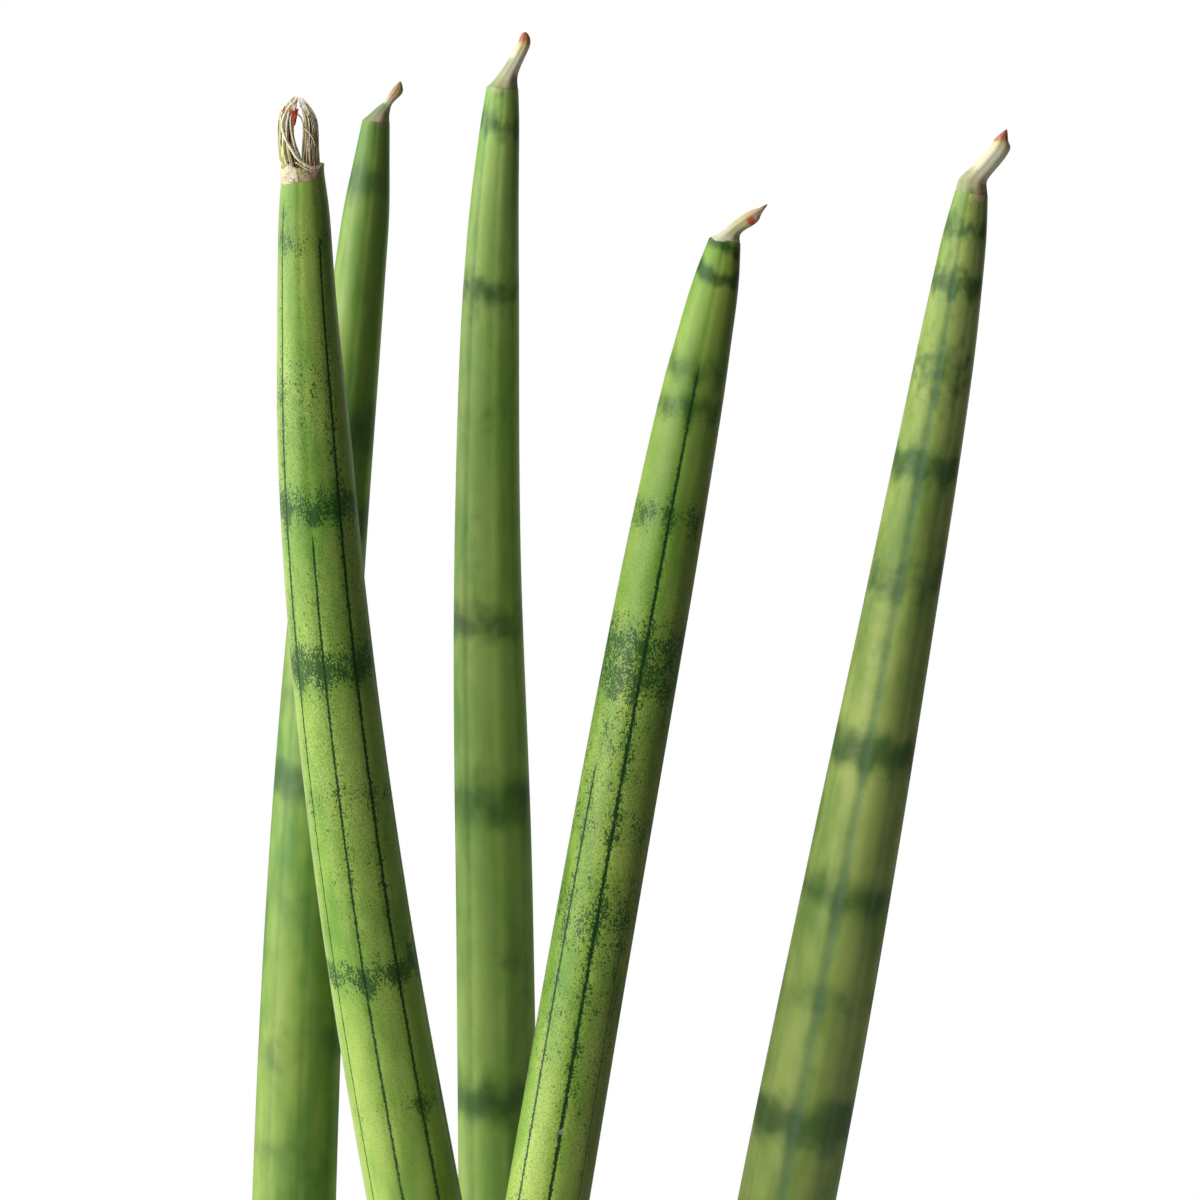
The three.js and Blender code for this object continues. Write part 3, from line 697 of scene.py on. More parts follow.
def side(degrees):
    """Direction from the rod's axis towards that side."""
    return Vector((math.cos(math.radians(degrees)), math.sin(math.radians(degrees)), 0))


def vectors(operation, output, *values):
    return add(values[0].tree, "VectorMath", output, {"operation": operation}, *values)


def lengthwise_green(space, band, stippled, pale, deep):
    """The green, and the streaks and the grain that are also its relief."""
    streaks = noise(space, 300, 3, 0.6, (1, 1, 0.03))
    clouds = noise(space, 75, 3, 0.6, (1, 1, 0.4))
    green = mixed(between(streaks * 0.2 + clouds, 0.42, 0.82), pale, deep)
    grain = noise(space, 3000, 2, 0.6, (1, 1, 0.7))
    drift = noise(space, 130, 3, 0.6, (1, 1, 0.3))
    dots = between(grain + drift * 0.45 + band * 0.1, 0.66, 0.86)
    return mixed(dots * stippled, green, GREEN_OF_STIPPLE), streaks, grain


def groove_lines(space, width, soft):
    """How far a point is inside a dark line, and how near it is to one."""
    groove = maths("ARCTAN2", part(space, "Y"), part(space, "X")) * (RIBS / (2 * math.pi))
    aside = maths("ABSOLUTE", groove - maths("ROUND", groove)) * (2 * math.pi * ROD_RADIUS / RIBS)
    edge = width * (noise(space, 2400, 3, 0.7, (1, 1, 0.6)) * 1.4 - 0.32)
    line = between((edge - aside) / soft, -0.5, 0.6) * between(width, 0, 0.0003)
    beside = width / MM * between(aside, 0.0027, 0.0002)
    return line, beside


def oval_spot(space, turn, down, wide, tall, ragged=1.6, rim=(1.15, 0.75)):
    """1 inside an oval on the leaf, and 0 outside its ragged or soft rim."""
    middle = side(turn) * ROD_RADIUS + Vector((0, 0, down * MM))
    offset = vectors("SUBTRACT", "Vector", space, middle)
    sized = vectors("DIVIDE", "Vector", offset, Vector((wide, wide, tall)) * MM)
    edge = vectors("LENGTH", "Value", sized) + weighed(noise(space, 800, 3), ragged)
    return between(edge, *rim)


# %% [markdown]
# The skin of the leaves is waxy and fairly smooth. One material is built for each leaf, from the
# green up: the painted light and shade of its sides and the washes first, then the specks of the
# bands, the lines, a few stains, and a dull foot near the soil. Where a leaf is marked softly, a
# broad noise replaces the fine crumbs.

# %% Leaf skin
SOFTEST_EDGE = 0.75
SOFTEST_LINE = 0.0006
FOOT_FROM, FOOT_TO = 0.40, 0.475


def leaf_skin(name, pale, deep, marking, ink, spots=(), light_and_shade=(), washes=()):
    """spots: (colour, angle, distance below the top, half width, half height), in millimetres.
    washes: the same after a colour and a strength, but soft, and under the markings.
    light_and_shade: (colour, angle, strength) of one side: painted light where pale, painted shade where
    dark."""
    material, space = start_material(name, "leaf_space")
    below = part(space, "Z")
    band = noted(space.tree, "band")
    sharp = between(below, *marking["sharp"])
    stippled = between(below, -0.006, 0.02) * (sharp * marking["stipple"])
    green, streaks, grain = lengthwise_green(space, band, stippled, pale, deep)
    # Painted light and shade on the sides: a pale colour stands for light, a dark one for shade.
    for painted_tone, turn, strength in light_and_shade:
        facing = vectors("DOT_PRODUCT", "Value", space, side(turn) / ROD_RADIUS)
        green = mixed(between(facing, 0.78, 0.98) * strength, green, painted_tone)
    # Washes are soft ovals of another green; the pale one on the far right leaf's right flank is painted
    # light.
    for wash, strength, *place in washes:
        green = mixed(oval_spot(space, *place, ragged=0.3, rim=(1.2, 0.1)) * strength, green, wash)

    line, beside = groove_lines(space, noted(space.tree, "line_width"),
                                sharp * -SOFTEST_LINE + (marking["line_soft"] + SOFTEST_LINE))
    specks = noise(space, marking["speck"], 3, 0.62, (1, 1, marking["stretch"]))
    clumps = noise(space, marking["clump"], marking["detail"], 0.6, (1, 1, marking["stretch"]))
    blurs = weighed(noise(space, 160, 2, 0.5), 1.4)
    drifts = weighed(noise(space, 95, 2, 0.5, (1, 1, 0.5)), 1.6)
    crumbs = weighed(clumps, 2.8) + weighed(specks, marking["weight"])
    level = band * marking["band"] + beside * marking["beside"] + drifts
    level = level + blurs + (crumbs - blurs) * sharp
    edge = sharp * (marking["soft"] - SOFTEST_EDGE) + SOFTEST_EDGE
    speck = between((level - marking["base"]) / edge, -1, 1) * marking["depth"]
    color = mixed(speck, green, marking["color"])
    breaks = between(clumps, 0.6, 0.42) * marking["line_breaks"]
    whole = maths("SUBTRACT", 1, breaks) * marking["line"]
    color = mixed(line * whole, color, ink)

    for stain, *place in spots:
        color = mixed(oval_spot(space, *place), color, stain)
    foot = between(below, FOOT_FROM, FOOT_TO) * noise(space, 240, 3)
    color = mixed(foot, color, "7d8a5a")
    gloss = noise(space, 300, 3, 0.6, (1, 1, 0.3))
    return shade(material, Base_Color=color, Roughness=gloss * 0.14 + 0.4, Specular_IOR_Level=0.38,
                 Sheen_Weight=0.14, Sheen_Roughness=0.4,
                 Normal=bump(streaks * 0.6 + grain * 0.4, 0.00006))


# %% [markdown]
# Each leaf then gets the skin that was made for it, and the CAD leaf that it stands for is hidden.

# %% Dress the leaves
# The sides' colours are painted light and shade: the pale ones light, with a painted highlight on the front
# left leaf's left edge, and the dark ones shade, mostly on the right flanks.
SKINS = {
    "front_left": dict(pale="abc75e", deep="729f35", marking=FINE_HIGH, ink="05380c",
                       light_and_shade=[("dcdcb8", -88, 0.3), ("6a5a34", 74, 0.3)]),
    "back_left": dict(pale="92ad50", deep="5b8a34", marking=BROADEST, ink="2f5a3a",
                      spots=[("8d8462", 30, 0, 6, 1.5)], light_and_shade=[("3f5f1e", 32, 0.4)]),
    # The centre back leaf's greens are paler than the others' as painted light, to offset the shade that
    # the leaves beside it cast.
    "centre_back": dict(pale="c2de7a", deep="84b84e", marking=BROAD, ink="4a7a46",
                        spots=[("c4b68c", -22, 0, 5, 0.9)],
                        light_and_shade=[("c8ee86", -14, 0.4), ("4c7c36", -72, 0.2), ("3d6c18", 42, 0.35)]),
    "front_right": dict(pale="b2cc5e", deep="7ba93a", marking=FINE_LOW, ink="05380c",
                        spots=[("8f8a72", 0, 229.5, 0.7, 0.7), ("ccd0b2", -25, 0, 5, 0.7)],
                        light_and_shade=[("5a4a34", 68, 0.5)], washes=[("648f34", 0.55, -5, 45, 16, 44)]),
    "far_right": dict(pale="b9ce6e", deep="7ca045", marking=MIDDLE, ink="6a9070",
                      spots=[("dcbb9c", 38, 0.3, 4.5, 1.4)], light_and_shade=[("5a6a30", 46, 0.35)],
                      # This pale wash on the right flank is painted light.
                      washes=[("c4d67e", 0.5, 62, 28, 11, 46)]),
}


def dress(piece, material, slot, *nodes):
    """Gives a piece its material, hangs it under the root body and hides the CAD nodes it stands for."""
    piece.data.materials.clear()
    piece.data.materials.append(material)
    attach(piece, "root")
    if nodes:
        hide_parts(*nodes)
    print(piece.name, "faces", len(piece.data.polygons))


for name, look in SKINS.items():
    dress(leaf_pieces[name], leaf_skin("skin_" + name, **look), "leaf", "leaf_" + name)

# %% [markdown]
# The dried ends. Each leaf ends in a short withered horn, bent over to the right and drying from
# cream to red-brown. It starts as a disc on the leaf's top, whose every third corner is pulled in
# to make pleats. The disc is extruded from one oval of the horn's outline to the next: moved to
# the oval's middle, turned to its slant and scaled to its width.

# %% Horns
# Each oval is (left x, left z, right x, right z) in millimetres from the top of the leaf's spine.
HORNS = {
    "back_left": [(-1.9, 1.6, 3.4, 1.3), (0.0, 3.5, 3.6, 2.5), (1.7, 4.5, 3.7, 3.3),
                  (2.5, 5.6, 4.2, 4.5), (3.2, 7, 5.2, 5.4), (4.3, 8.4, 7.2, 7.1), (5.4, 9.5, 6.8, 9.0),
                  (6.1, 10.1, 6.4, 10.1)],
    "centre_back": [(-3.4, 0.8, 4, 0.9), (-2.2, 2, 3.9, 2.4), (0, 5, 4.4, 4.6), (2.3, 8.4, 6, 7.9),
                    (3.8, 11.2, 7.2, 10.4), (4.4, 12.7, 7.4, 11.9), (4.9, 13.7, 7, 13.2),
                    (5.6, 14.2, 6.3, 14.1)],
    "front_right": [(-2.9, 1.2, 3.8, 0.4), (-1.2, 2.3, 3.8, 1.2), (0.4, 3.5, 4.2, 2),
                    (2.1, 4.9, 5.3, 2.8), (4.7, 6.9, 7.2, 3.8), (6.5, 7.8, 8.6, 4.9), (7.9, 8.15, 8.9, 5.9),
                    (8.6, 8.3, 9.2, 6.8), (9.4, 8.75, 9.75, 7.6), (10.75, 9.3, 10.85, 9.1)],
    "far_right": [(-3.8, 2.6, 3.8, 2.1), (-3.4, 3.8, 3.9, 3.1), (-1, 5.9, 5.2, 4.9),
                  (1.9, 9, 8, 8), (4.3, 12, 9.5, 10.4), (5.2, 13.2, 9.9, 11.7), (6, 14.1, 9, 13),
                  (7.5, 15.3, 9, 14.3), (8.5, 16.1, 8.8, 15.9)],
}
HORN_SIDES = 24
HORN_SUNK = 0.0012
HORN_FOOT = ((0.001, 1.13), (0.0002, 1.01))
HORN_FLATNESS = 0.82
PLEAT_EVERY = 3
PLEAT_SHARE = 0.92


def oval_middle(oval):
    return Vector(((oval[0] + oval[2]) / 2, 0, (oval[1] + oval[3]) / 2)) * MM


def oval_half(oval):
    return Vector(((oval[2] - oval[0]) / 2, 0, (oval[3] - oval[1]) / 2)) * MM


def top_of(leaf):
    """The top of a leaf's spine, and the way that it points there."""
    places = leaf["places"]
    return places[-1] * MM, (places[-1] - places[-2]).normalized()


def make_horn(name, leaf, ovals):
    top, along = top_of(leaf)
    radius = leaf["girth"][0][1] / 2 * MM
    horn = disc("horn_" + name, HORN_SIDES, radius * 0.9, location=top - along * HORN_SUNK,
                rotation=(0, math.atan2(along.x, along.z), 0))
    settle(horn)
    edit(horn)
    right = Vector((along.z, 0, -along.x))
    back = along.cross(right)

    def at_pleat(corner):
        out = corner.co - top
        return nearest_step(math.atan2(out.dot(back), out.dot(right)), HORN_SIDES) % PLEAT_EVERY == 0

    pick(horn, at_pleat)
    resize([PLEAT_SHARE] * 3, top)
    pick_all()
    for rise, share in HORN_FOOT:
        extrude(along * rise)
        resize([share] * 3, top)
    middle, half = top, right * radius * 1.02
    for step, oval in enumerate(ovals):
        to, reach = top + oval_middle(oval), oval_half(oval)
        turn = math.atan2(half.z, half.x) - math.atan2(reach.z, reach.x)
        size = reach.length / half.length
        flat = HORN_FLATNESS if step == 0 else 1
        extrude(to - middle)
        bpy.ops.transform.rotate(value=-turn, orient_axis="Y", center_override=to)
        resize((size, size * flat, size), to)
        middle, half = to, reach
    face_outwards()
    round_off(horn, 2)
    note_horn(horn, [top, *[top + oval_middle(o) for o in ovals]],
              [radius, *[oval_half(o).length for o in ovals]])
    smooth(horn)
    return horn


def note_horn(horn, middles, halves):
    """Notes how far along the horn each point is, and how far to its right side."""
    run = lengths_along(middles)
    alongs, sides = [], []
    for point in horn.data.vertices:
        best = None
        for i, (a, b) in enumerate(zip(middles, middles[1:])):
            t = share_of((point.co - a).dot(b - a), (b - a).length_squared)
            off = point.co - a.lerp(b, t)
            if best is None or off.length < best[0]:
                right = Vector(((b - a).z, 0, -(b - a).x)).normalized()
                half = halves[i] * (1 - t) + halves[i + 1] * t
                best = (off.length, run[i] + (run[i + 1] - run[i]) * t, off.dot(right) / half)
        alongs.append(best[1] / run[-1])
        sides.append(best[2])
    note(horn, "along", alongs)
    note(horn, "rightward", sides)


horns = {name: make_horn(name, LEAVES[name], ovals) for name, ovals in HORNS.items()}
print("horns", {name: [round(v / MM, 1) for v in horn.dimensions] for name, horn in horns.items()})

# %% [markdown]
# Dried leaf is papery. Along the horn it fades from grey-green through cream to red-brown at the
# end, and its flanks are stained near the foot; on the front right horn the grey of the right flank
# is painted shade, and on the far right horn its tan stain is made paler as painted light. Fine
# lengthwise pleats show in the colour and as a bump; both follow the horn because they use its own
# along and rightward numbers.

# %% Dried skin
# stops: colours along the horn. left, right: (colour, reaches this far along, strength) of the colour
# on that flank: a stain, except that the front right horn's right one is painted shade and the far
# right horn's right one is a stain made paler as painted light. spot: (colour, how far along).
DRIED = {
    "back_left": dict(
        stops=[(0, "b3a78a"), (0.26, "aba384"), (0.36, "93a87e"), (0.46, "cbd8b8"), (0.58, "ccb497"),
               (0.75, "b09865"), (1, "a09258")],
        left=("5f8a50", 0.42, 0.85), right=("8d7d62", 0.3, 0.5)),
    "centre_back": dict(
        stops=[(0, "8fae58"), (0.06, "c2b88a"), (0.16, "dcd6b0"), (0.55, "ebe6c8"), (0.78, "dccf94"),
               (0.87, "c67b58"), (1, "ad5a42")],
        left=("93a573", 0.5, 0.85), right=("8c8068", 0.3, 0.8)),
    "front_right": dict(
        stops=[(0, "cfc8a6"), (0.2, "d5d1a4"), (0.5, "d6cf9c"), (0.66, "dcbc94"), (0.8, "d9c8a2"),
               (0.9, "b99068"), (1, "9c6440")],
        # The grey on the right flank here is painted shade.
        left=("e0dac8", 0.25, 0.7), right=("a8a07c", 0.45, 0.4), spot=("d8603a", 0.6)),
    "far_right": dict(
        stops=[(0, "88a854"), (0.07, "b7b886"), (0.16, "d8d0a6"), (0.32, "e9e3c2"), (0.66, "ece9cc"),
               (0.8, "dfd7a0"), (0.88, "c47250"), (1, "a85638")],
        # The tan on the right flank here is a stain, made paler as painted light on that shaded side.
        left=("9cab78", 0.28, 0.8), right=("d3ae94", 0.16, 0.9)),
}


def dried_skin(name, stops, left, right, spot=None):
    material, place = start_material(name)
    along = noted(place.tree, "along")
    rightward = noted(place.tree, "rightward")
    blots = noise(place, 700, 4, 0.6)
    shifted = along + weighed(blots, 0.16)
    color = colours(shifted, stops)
    # Flank colours near the foot: stains, and on two horns painted shade or painted light on the right
    # flank.
    for way, (stain, reach, strength) in ((-1, left), (1, right)):
        flank = between(rightward * way, 0.05, 0.65) * between(shifted, reach + 0.08, reach - 0.08)
        color = mixed(flank * strength, color, stain)
    if spot:
        off = maths("ABSOLUTE", shifted - spot[1])
        color = mixed(between(off, 0.1, 0.03) * between(rightward, -0.45, 0.0), color, spot[0])
    strands = add(place.tree, "CombineXYZ", "Vector", X=rightward * 0.004, Z=along * 0.003)
    pleats = noise(strands, 1600, 3, 0.6)
    color = mixed(between(pleats, 0.5, 0.72) * 0.2, color, "9a8a5a", "MULTIPLY")
    return shade(material, Base_Color=color, Roughness=0.72, Normal=bump(pleats + blots * 0.5, 0.00007))


for name, look in DRIED.items():
    dress(horns[name], dried_skin("dried_" + name, **look), "dry_tip", "dry_tip_" + name)

# %% [markdown]
# The frayed end of the front left leaf. Here the horn has rotted away between its fibres: a torn
# papery collar is left, and two bundles of fibres that lean together at the top, with a gap
# between them. Both bundles are hollow, like a husk. Each is described by a few levels: its left
# and right edge and its depth. Everything is modelled upright at the origin, with the leaf's top
# at height 0, and then set on the leaf.

# %% Crown shape
# (height, left edge, right edge, half depth) in millimetres
LEFT_BUNDLE = [(0.8, -4.7, -0.1, 3.2), (2.6, -5.2, -0.3, 3.5), (4.1, -5.6, -0.5, 3.6), (7, -5.8, -1.5, 3.2),
               (9.7, -5.85, -2.0, 2.9), (12.2, -5.7, -1.9, 2.6), (14.4, -5.3, -1.7, 2.2),
               (16.1, -4.6, -1.3, 1.7), (17.5, -3.4, -0.9, 1.2), (19.2, -1.4, -0.4, 0.6)]
RIGHT_BUNDLE = [(0.8, 0, 4.1, 3.5), (2.5, -0.1, 4.1, 3.6), (5, -0.2, 4.05, 3.5), (7.8, 0.3, 4.0, 3.2),
                (10.7, 0.6, 4.0, 2.9), (13.3, 0.6, 3.7, 2.5), (15.7, 0.2, 2.6, 1.9),
                (17.4, -0.4, 1.4, 1.2), (19, -1.0, 0.2, 0.6)]


def bundle_place(levels, height, turn, tight):
    """A place on the bundle's skin or, for tight below 1, inside it: turn 0 is its right edge,
    and a quarter turn its back."""
    left, right, depth = [smooth_between([(level[0], level[k]) for level in levels], height)
                          for k in (1, 2, 3)]
    middle, half = (left + right) / 2, (right - left) / 2
    return Vector((middle + half * tight * math.cos(turn), depth * tight * math.sin(turn), height)) * MM


def set_on_leaf(piece):
    top, along = top_of(LEAVES["front_left"])
    piece.location = top
    piece.rotation_euler = (-math.asin(along.y), math.asin(along.x), 0)
    settle(piece)


print("bundle levels", len(LEFT_BUNDLE), len(RIGHT_BUNDLE))

# %% [markdown]
# The fibres are thin threads, round in section, some straw-coloured, some brown. A thread is
# easiest as a curve with a bevel depth: its points run up the bundle's skin, and its radius may
# change on the way. All threads of a colour are made in one curve and turned into a mesh.

# %% Crown fibres
THREADS_ROUND = 28
THREAD_STEPS = 14
THREAD_FOOT = 1.0
BROWN_EVERY, FIRST_BROWN = 5, 3
THREAD_SEED = 5
pale_threads = bpy.data.curves.new("crown_fibres_pale", "CURVE")
brown_threads = bpy.data.curves.new("crown_fibres_brown", "CURVE")
draw = random.Random(THREAD_SEED)


def bundle_thread(data, levels, turn, head, thick, tight):
    """A fibre up the bundle, leaning and waving a little, and thinner and uneven on its way."""
    lean = draw.uniform(-0.45, 0.45)
    wave = draw.uniform(0.5, 1.6)
    places, radii = [], []
    for i in range(THREAD_STEPS + 1):
        share = i / THREAD_STEPS
        height = THREAD_FOOT + (head - THREAD_FOOT) * share
        around = turn + lean * share + 0.13 * math.sin(wave * 6 * share + turn * 3)
        places.append(bundle_place(levels, height, around, tight))
        radii.append(thick * MM * (1 - 0.45 * share) * (1 + 0.12 * math.sin(9 * share + turn * 5)))
    add_spline(data, places, radii)


for levels in (LEFT_BUNDLE, RIGHT_BUNDLE):
    for i in range(THREADS_ROUND):
        turn = 2 * math.pi * (i + draw.uniform(-0.4, 0.4)) / THREADS_ROUND
        head = draw.uniform(15.6, 19.0)
        thick = draw.uniform(0.1, 0.2)
        tight = draw.uniform(0.86, 1.0)
        kind = brown_threads if i % BROWN_EVERY == FIRST_BROWN else pale_threads
        bundle_thread(kind, levels, turn, head, thick, tight)
print("fibres", len(pale_threads.splines), "pale,", len(brown_threads.splines), "brown")

# %% [markdown]
# Some fibres stand out one by one: the loop over the gap, the broad strips of the left bundle, and
# torn ones across the collar. Each is drawn through a few points and rounded off between them.

# %% Loose fibres
# (points, half thickness) in millimetres
LOOSE_FIBRES = [
    ([(0.0, -0.5, 3.5), (0.1, -1.2, 5.7), (0.45, -1.6, 9.2), (0.6, -1.4, 12), (0.1, -1, 13.7),
      (-0.7, -0.6, 14.6), (-1.4, -0.4, 15)], 0.2),
    ([(-1.9, -1.2, 17.6), (-3.9, -2.6, 14.6), (-4.5, -3.0, 12), (-3.6, -3.8, 9), (-2.2, -4.4, 6.4),
      (-0.9, -4.7, 4.4), (0.8, -4.7, 3.0), (2.6, -4.2, 1.9)], 0.36),
    ([(-1.2, -1.5, 16.8), (-2.4, -2.5, 14), (-2.2, -3.3, 10.5), (-1.5, -4.0, 7), (-0.5, -4.4, 4.2),
      (1.0, -4.4, 2.4)], 0.24),
    ([(-2.6, -2.2, 16.2), (-3.4, -3.1, 12), (-3.3, -4.0, 7.5), (-2.7, -4.5, 3.4)], 0.26),
    ([(-3.4, -2.2, 15.2), (-4.3, -3.2, 10), (-4.2, -3.9, 5.5), (-3.6, -4.2, 3.0)], 0.24),
    ([(-0.6, -4.8, 4.3), (1.3, -4.9, 2.6), (3.4, -3.9, 1.6)], 0.17),
    ([(-1.4, -4.5, 3.4), (0.6, -4.9, 2.2), (2.6, -4.4, 0.9)], 0.15),
    ([(0.3, -3.2, 11.6), (1.6, -3.5, 10.9), (2.8, -3.1, 9.2), (3.4, -2.6, 7.2)], 0.15),
    ([(-0.3, -0.4, 16.8), (0.6, -0.8, 15.8), (1.6, -1.4, 14.4), (2.4, -1.6, 12)], 0.17),
]
LOOSE_SPACING = 0.4


def threads_to_mesh(name, data):
    data.dimensions = "3D"
    data.bevel_depth = 1.0
    data.bevel_resolution = 1
    data.use_fill_caps = True
    only(put(name, data))
    bpy.ops.object.convert(target="MESH")
    piece = bpy.context.object
    piece.name = piece.data.name = name
    set_on_leaf(piece)
    edit(piece)
    face_outwards()
    smooth(piece, 80)
    return piece


for points, thick in LOOSE_FIBRES:
    places = spine_places(points, LOOSE_SPACING)
    add_spline(pale_threads, [place * MM for place in places], [thick * MM] * len(places))
fibres_pale = threads_to_mesh("crown_fibres_pale", pale_threads)
fibres_brown = threads_to_mesh("crown_fibres_brown", brown_threads)
print("fibres are", round(fibres_pale.dimensions.z / MM, 1), "mm high")

# %% [markdown]
# Between the fibres some tissue is left: a grey-green husk on the left bundle. Inside both bundles
# a dark sheet is painted shade, which stands for the shade in the hollow seen between the fibres.
# Each is a grid whose rows and columns are laid round the bundle, the dark sheets inside its fibres
# and the husk just outside them, and given a thickness. Its upper edge is ragged.

# %% Crown husks
HUSK_FOOT = 0.8
HUSK_THICKNESS = 0.0003
HUSK_COLUMNS, HUSK_ROWS = 20, 16


def laid_grid(name, columns, rows, place_at):
    """A grid whose points go where place_at(u, v) says, with u and v from 0 to 1."""
    piece = begin(name, bpy.ops.mesh.primitive_grid_add, x_subdivisions=columns,
                  y_subdivisions=rows, size=2)
    for point in piece.data.vertices:
        point.co = place_at((point.co.x + 1) / 2, (point.co.y + 1) / 2)
    edit(piece)
    face_outwards()
    return piece


def husk(name, levels, high, start, end, tight):
    """A husk up to that height, and round the bundle from one angle to the other, in degrees."""
    def place_at(u, v):
        turn = math.radians(start + (end - start) * u)
        top = high - 1.2 * (0.5 + 0.5 * math.sin(9 * u + 2)) - 0.8 * math.sin(23 * u) ** 2
        return bundle_place(levels, HUSK_FOOT + (top - HUSK_FOOT) * v, turn, tight)

    piece = laid_grid(name, HUSK_COLUMNS, HUSK_ROWS, place_at)
    apply_modifier(piece, "Thickness", "SOLIDIFY", thickness=HUSK_THICKNESS, offset=-1)
    set_on_leaf(piece)
    smooth(piece)
    return piece


# Dark sheets inside both bundles: painted shade of the hollow, seen between the fibres.
shade_sheets = [husk("crown_lining_left", LEFT_BUNDLE, 14.5, -200, -20, 0.8),
           husk("crown_lining_right", RIGHT_BUNDLE, 15, -150, 60, 0.8)]
left_husk = husk("crown_husk", LEFT_BUNDLE, 15.4, -200, -86, 1.03)
print("husk and linings", [len(piece.data.polygons) for piece in (left_husk, *shade_sheets)], "faces")

# %% [markdown]
# The collar is the torn rim of dry skin round the leaf's top. It is a ring of points pulled up
# from its lower edge, which overlaps the green, to its ragged upper edge, and is closed inside by
# a floor. On the right it is tucked in a little.

# %% Collar
# (across, height) of its lower and upper edge, in millimetres
COLLAR_LOW = [(-5.6, -2.4), (-3, -2.3), (-1.3, -1.6), (1.2, -1.3), (2.5, -1.2), (3.6, 0.1),
              (4.5, 1.6), (6, 2.1)]
COLLAR_HIGH = [(-5.6, 1.9), (-3.6, 2.2), (-2, 3.1), (-0.8, 1.9), (1, 2.2), (2.2, 1.7), (3, 2.1),
               (4.4, 2.5), (6, 2.9)]
COLLAR_SIDES = 72
COLLAR_RINGS = 8
COLLAR_SHIFT = -0.45
TEAR_SEED = 11
TEAR_LOW, TEAR_HIGH = -0.55, 0.5


def collar_section(turn, tear):
    """The section there, from the hidden foot over the brim to the floor inside: one place a ring.
    tear is how much the brim stands up, in millimetres."""
    leaf = LEAVES["front_left"]
    radius = leaf["girth"][0][1] / 2
    x, y = radius * math.cos(turn), radius * math.sin(turn)
    tuck = max(0, math.cos(turn)) ** 3
    low, high = smooth_between(COLLAR_LOW, x), smooth_between(COLLAR_HIGH, x) + tear * (1 - 0.7 * tuck)
    cap = leaf["slant"] * x
    # share of the leaf's radius, how much less where it is tucked in, shift to the left, height
    rings = [(0.9, 0, 0, low - 0.6), (1.035, 0.02, 0, low), (1.05, 0.025, 0, low + 0.3),
             (1.03, 0.015, 0.3, max((low + high) / 2, cap + 0.2)), (0.97, 0.08, 1, high - 0.15),
             (0.94, 0.1, 1, high), (0.9, 0.12, 1, high - 0.3), (0.88, 0.14, 0.6, cap + 0.3)]
    return [Vector((x * (share - less * tuck) + COLLAR_SHIFT * shift * (1 - tuck),
                    y * (share - less * tuck), z)) * MM for share, less, shift, z in rings]


def make_collar():
    wander = random.Random(TEAR_SEED)
    tears = [wander.uniform(TEAR_LOW, TEAR_HIGH) for _ in range(COLLAR_SIDES)]
    collar = disc("crown_collar", COLLAR_SIDES, LEAVES["front_left"]["girth"][0][1] / 2 * MM)
    edit(collar)
    for ring in range(COLLAR_RINGS):
        if ring:
            extrude((0, 0, 0))
        shape = bmesh.from_edit_mesh(collar.data)
        corners = [corner for corner in shape.verts if corner.select]
        middle = sum((corner.co for corner in corners), Vector()) / len(corners)
        for corner in corners:
            turn = math.atan2(corner.co.y - middle.y, corner.co.x - middle.x)
            corner.co = collar_section(turn, tears[nearest_step(turn, COLLAR_SIDES)])[ring]
        bmesh.update_edit_mesh(collar.data)
    face_outwards()
    round_off(collar, 1)
    note(collar, "crown_space", [c for point in collar.data.vertices for c in point.co])
    set_on_leaf(collar)
    smooth(collar)
    return collar


collar = make_collar()
print("collar is", [round(v / MM, 1) for v in collar.dimensions], "mm")

# %% [markdown]
# Scraps of the horn's skin are left too: a red flake that hangs in the gap, and a pale flap over
# it. A scrap is a grid drawn in to a tip, a little crumpled, and given a thickness.

# %% Scraps
SCRAP_CELLS = 6
SCRAP_THICKNESS = 0.00025


def make_scrap(name, left, right, tip, narrowing=1.5):
    """A torn scrap of skin between two upper corners and a tip, in millimetres."""
    left, right, tip = Vector(left), Vector(right), Vector(tip)
    near, far = tip + Vector((-0.15, 0, 0)), tip + Vector((0.15, 0.1, 0))

    def place_at(u, v):
        place = left.lerp(near, v).lerp(right.lerp(far, v ** narrowing), u)
        place.y -= 0.4 * math.sin(math.pi * u) * (1 - 0.6 * v) + 0.15 * math.sin(9 * v + 3 * u)
        place.z += 0.35 * math.sin(7 * u + 1) * (1 - v)
        return place * MM

    scrap = laid_grid(name, SCRAP_CELLS, SCRAP_CELLS, place_at)
    apply_modifier(scrap, "Thickness", "SOLIDIFY", thickness=SCRAP_THICKNESS, offset=0)
    round_off(scrap, 1)
    set_on_leaf(scrap)
    smooth(scrap)
    return scrap


def join_pieces(name, parts):
    """Joins finished parts into one mesh at the origin."""
    whole = put(name, bpy.data.meshes.new(name))
    only(whole)
    for piece in parts:
        piece.select_set(True)
    bpy.ops.object.join()
    return whole


flake = join_pieces("crown_flake", [
    make_scrap("scrap", (-3.2, -2.1, 16.1), (-0.4, -1.6, 15.9), (-1.55, -2.5, 12.1), 1.8),
    make_scrap("scrap", (-4.8, -1.9, 15.7), (-3.8, -2.0, 16.7), (-4.15, -2.3, 14.8))])
flap = make_scrap("crown_flap", (-2.7, -1.5, 17.6), (-0.6, -1.3, 18.3), (-1.3, -1.9, 15.4))
print("scraps", flake.name, flap.name)

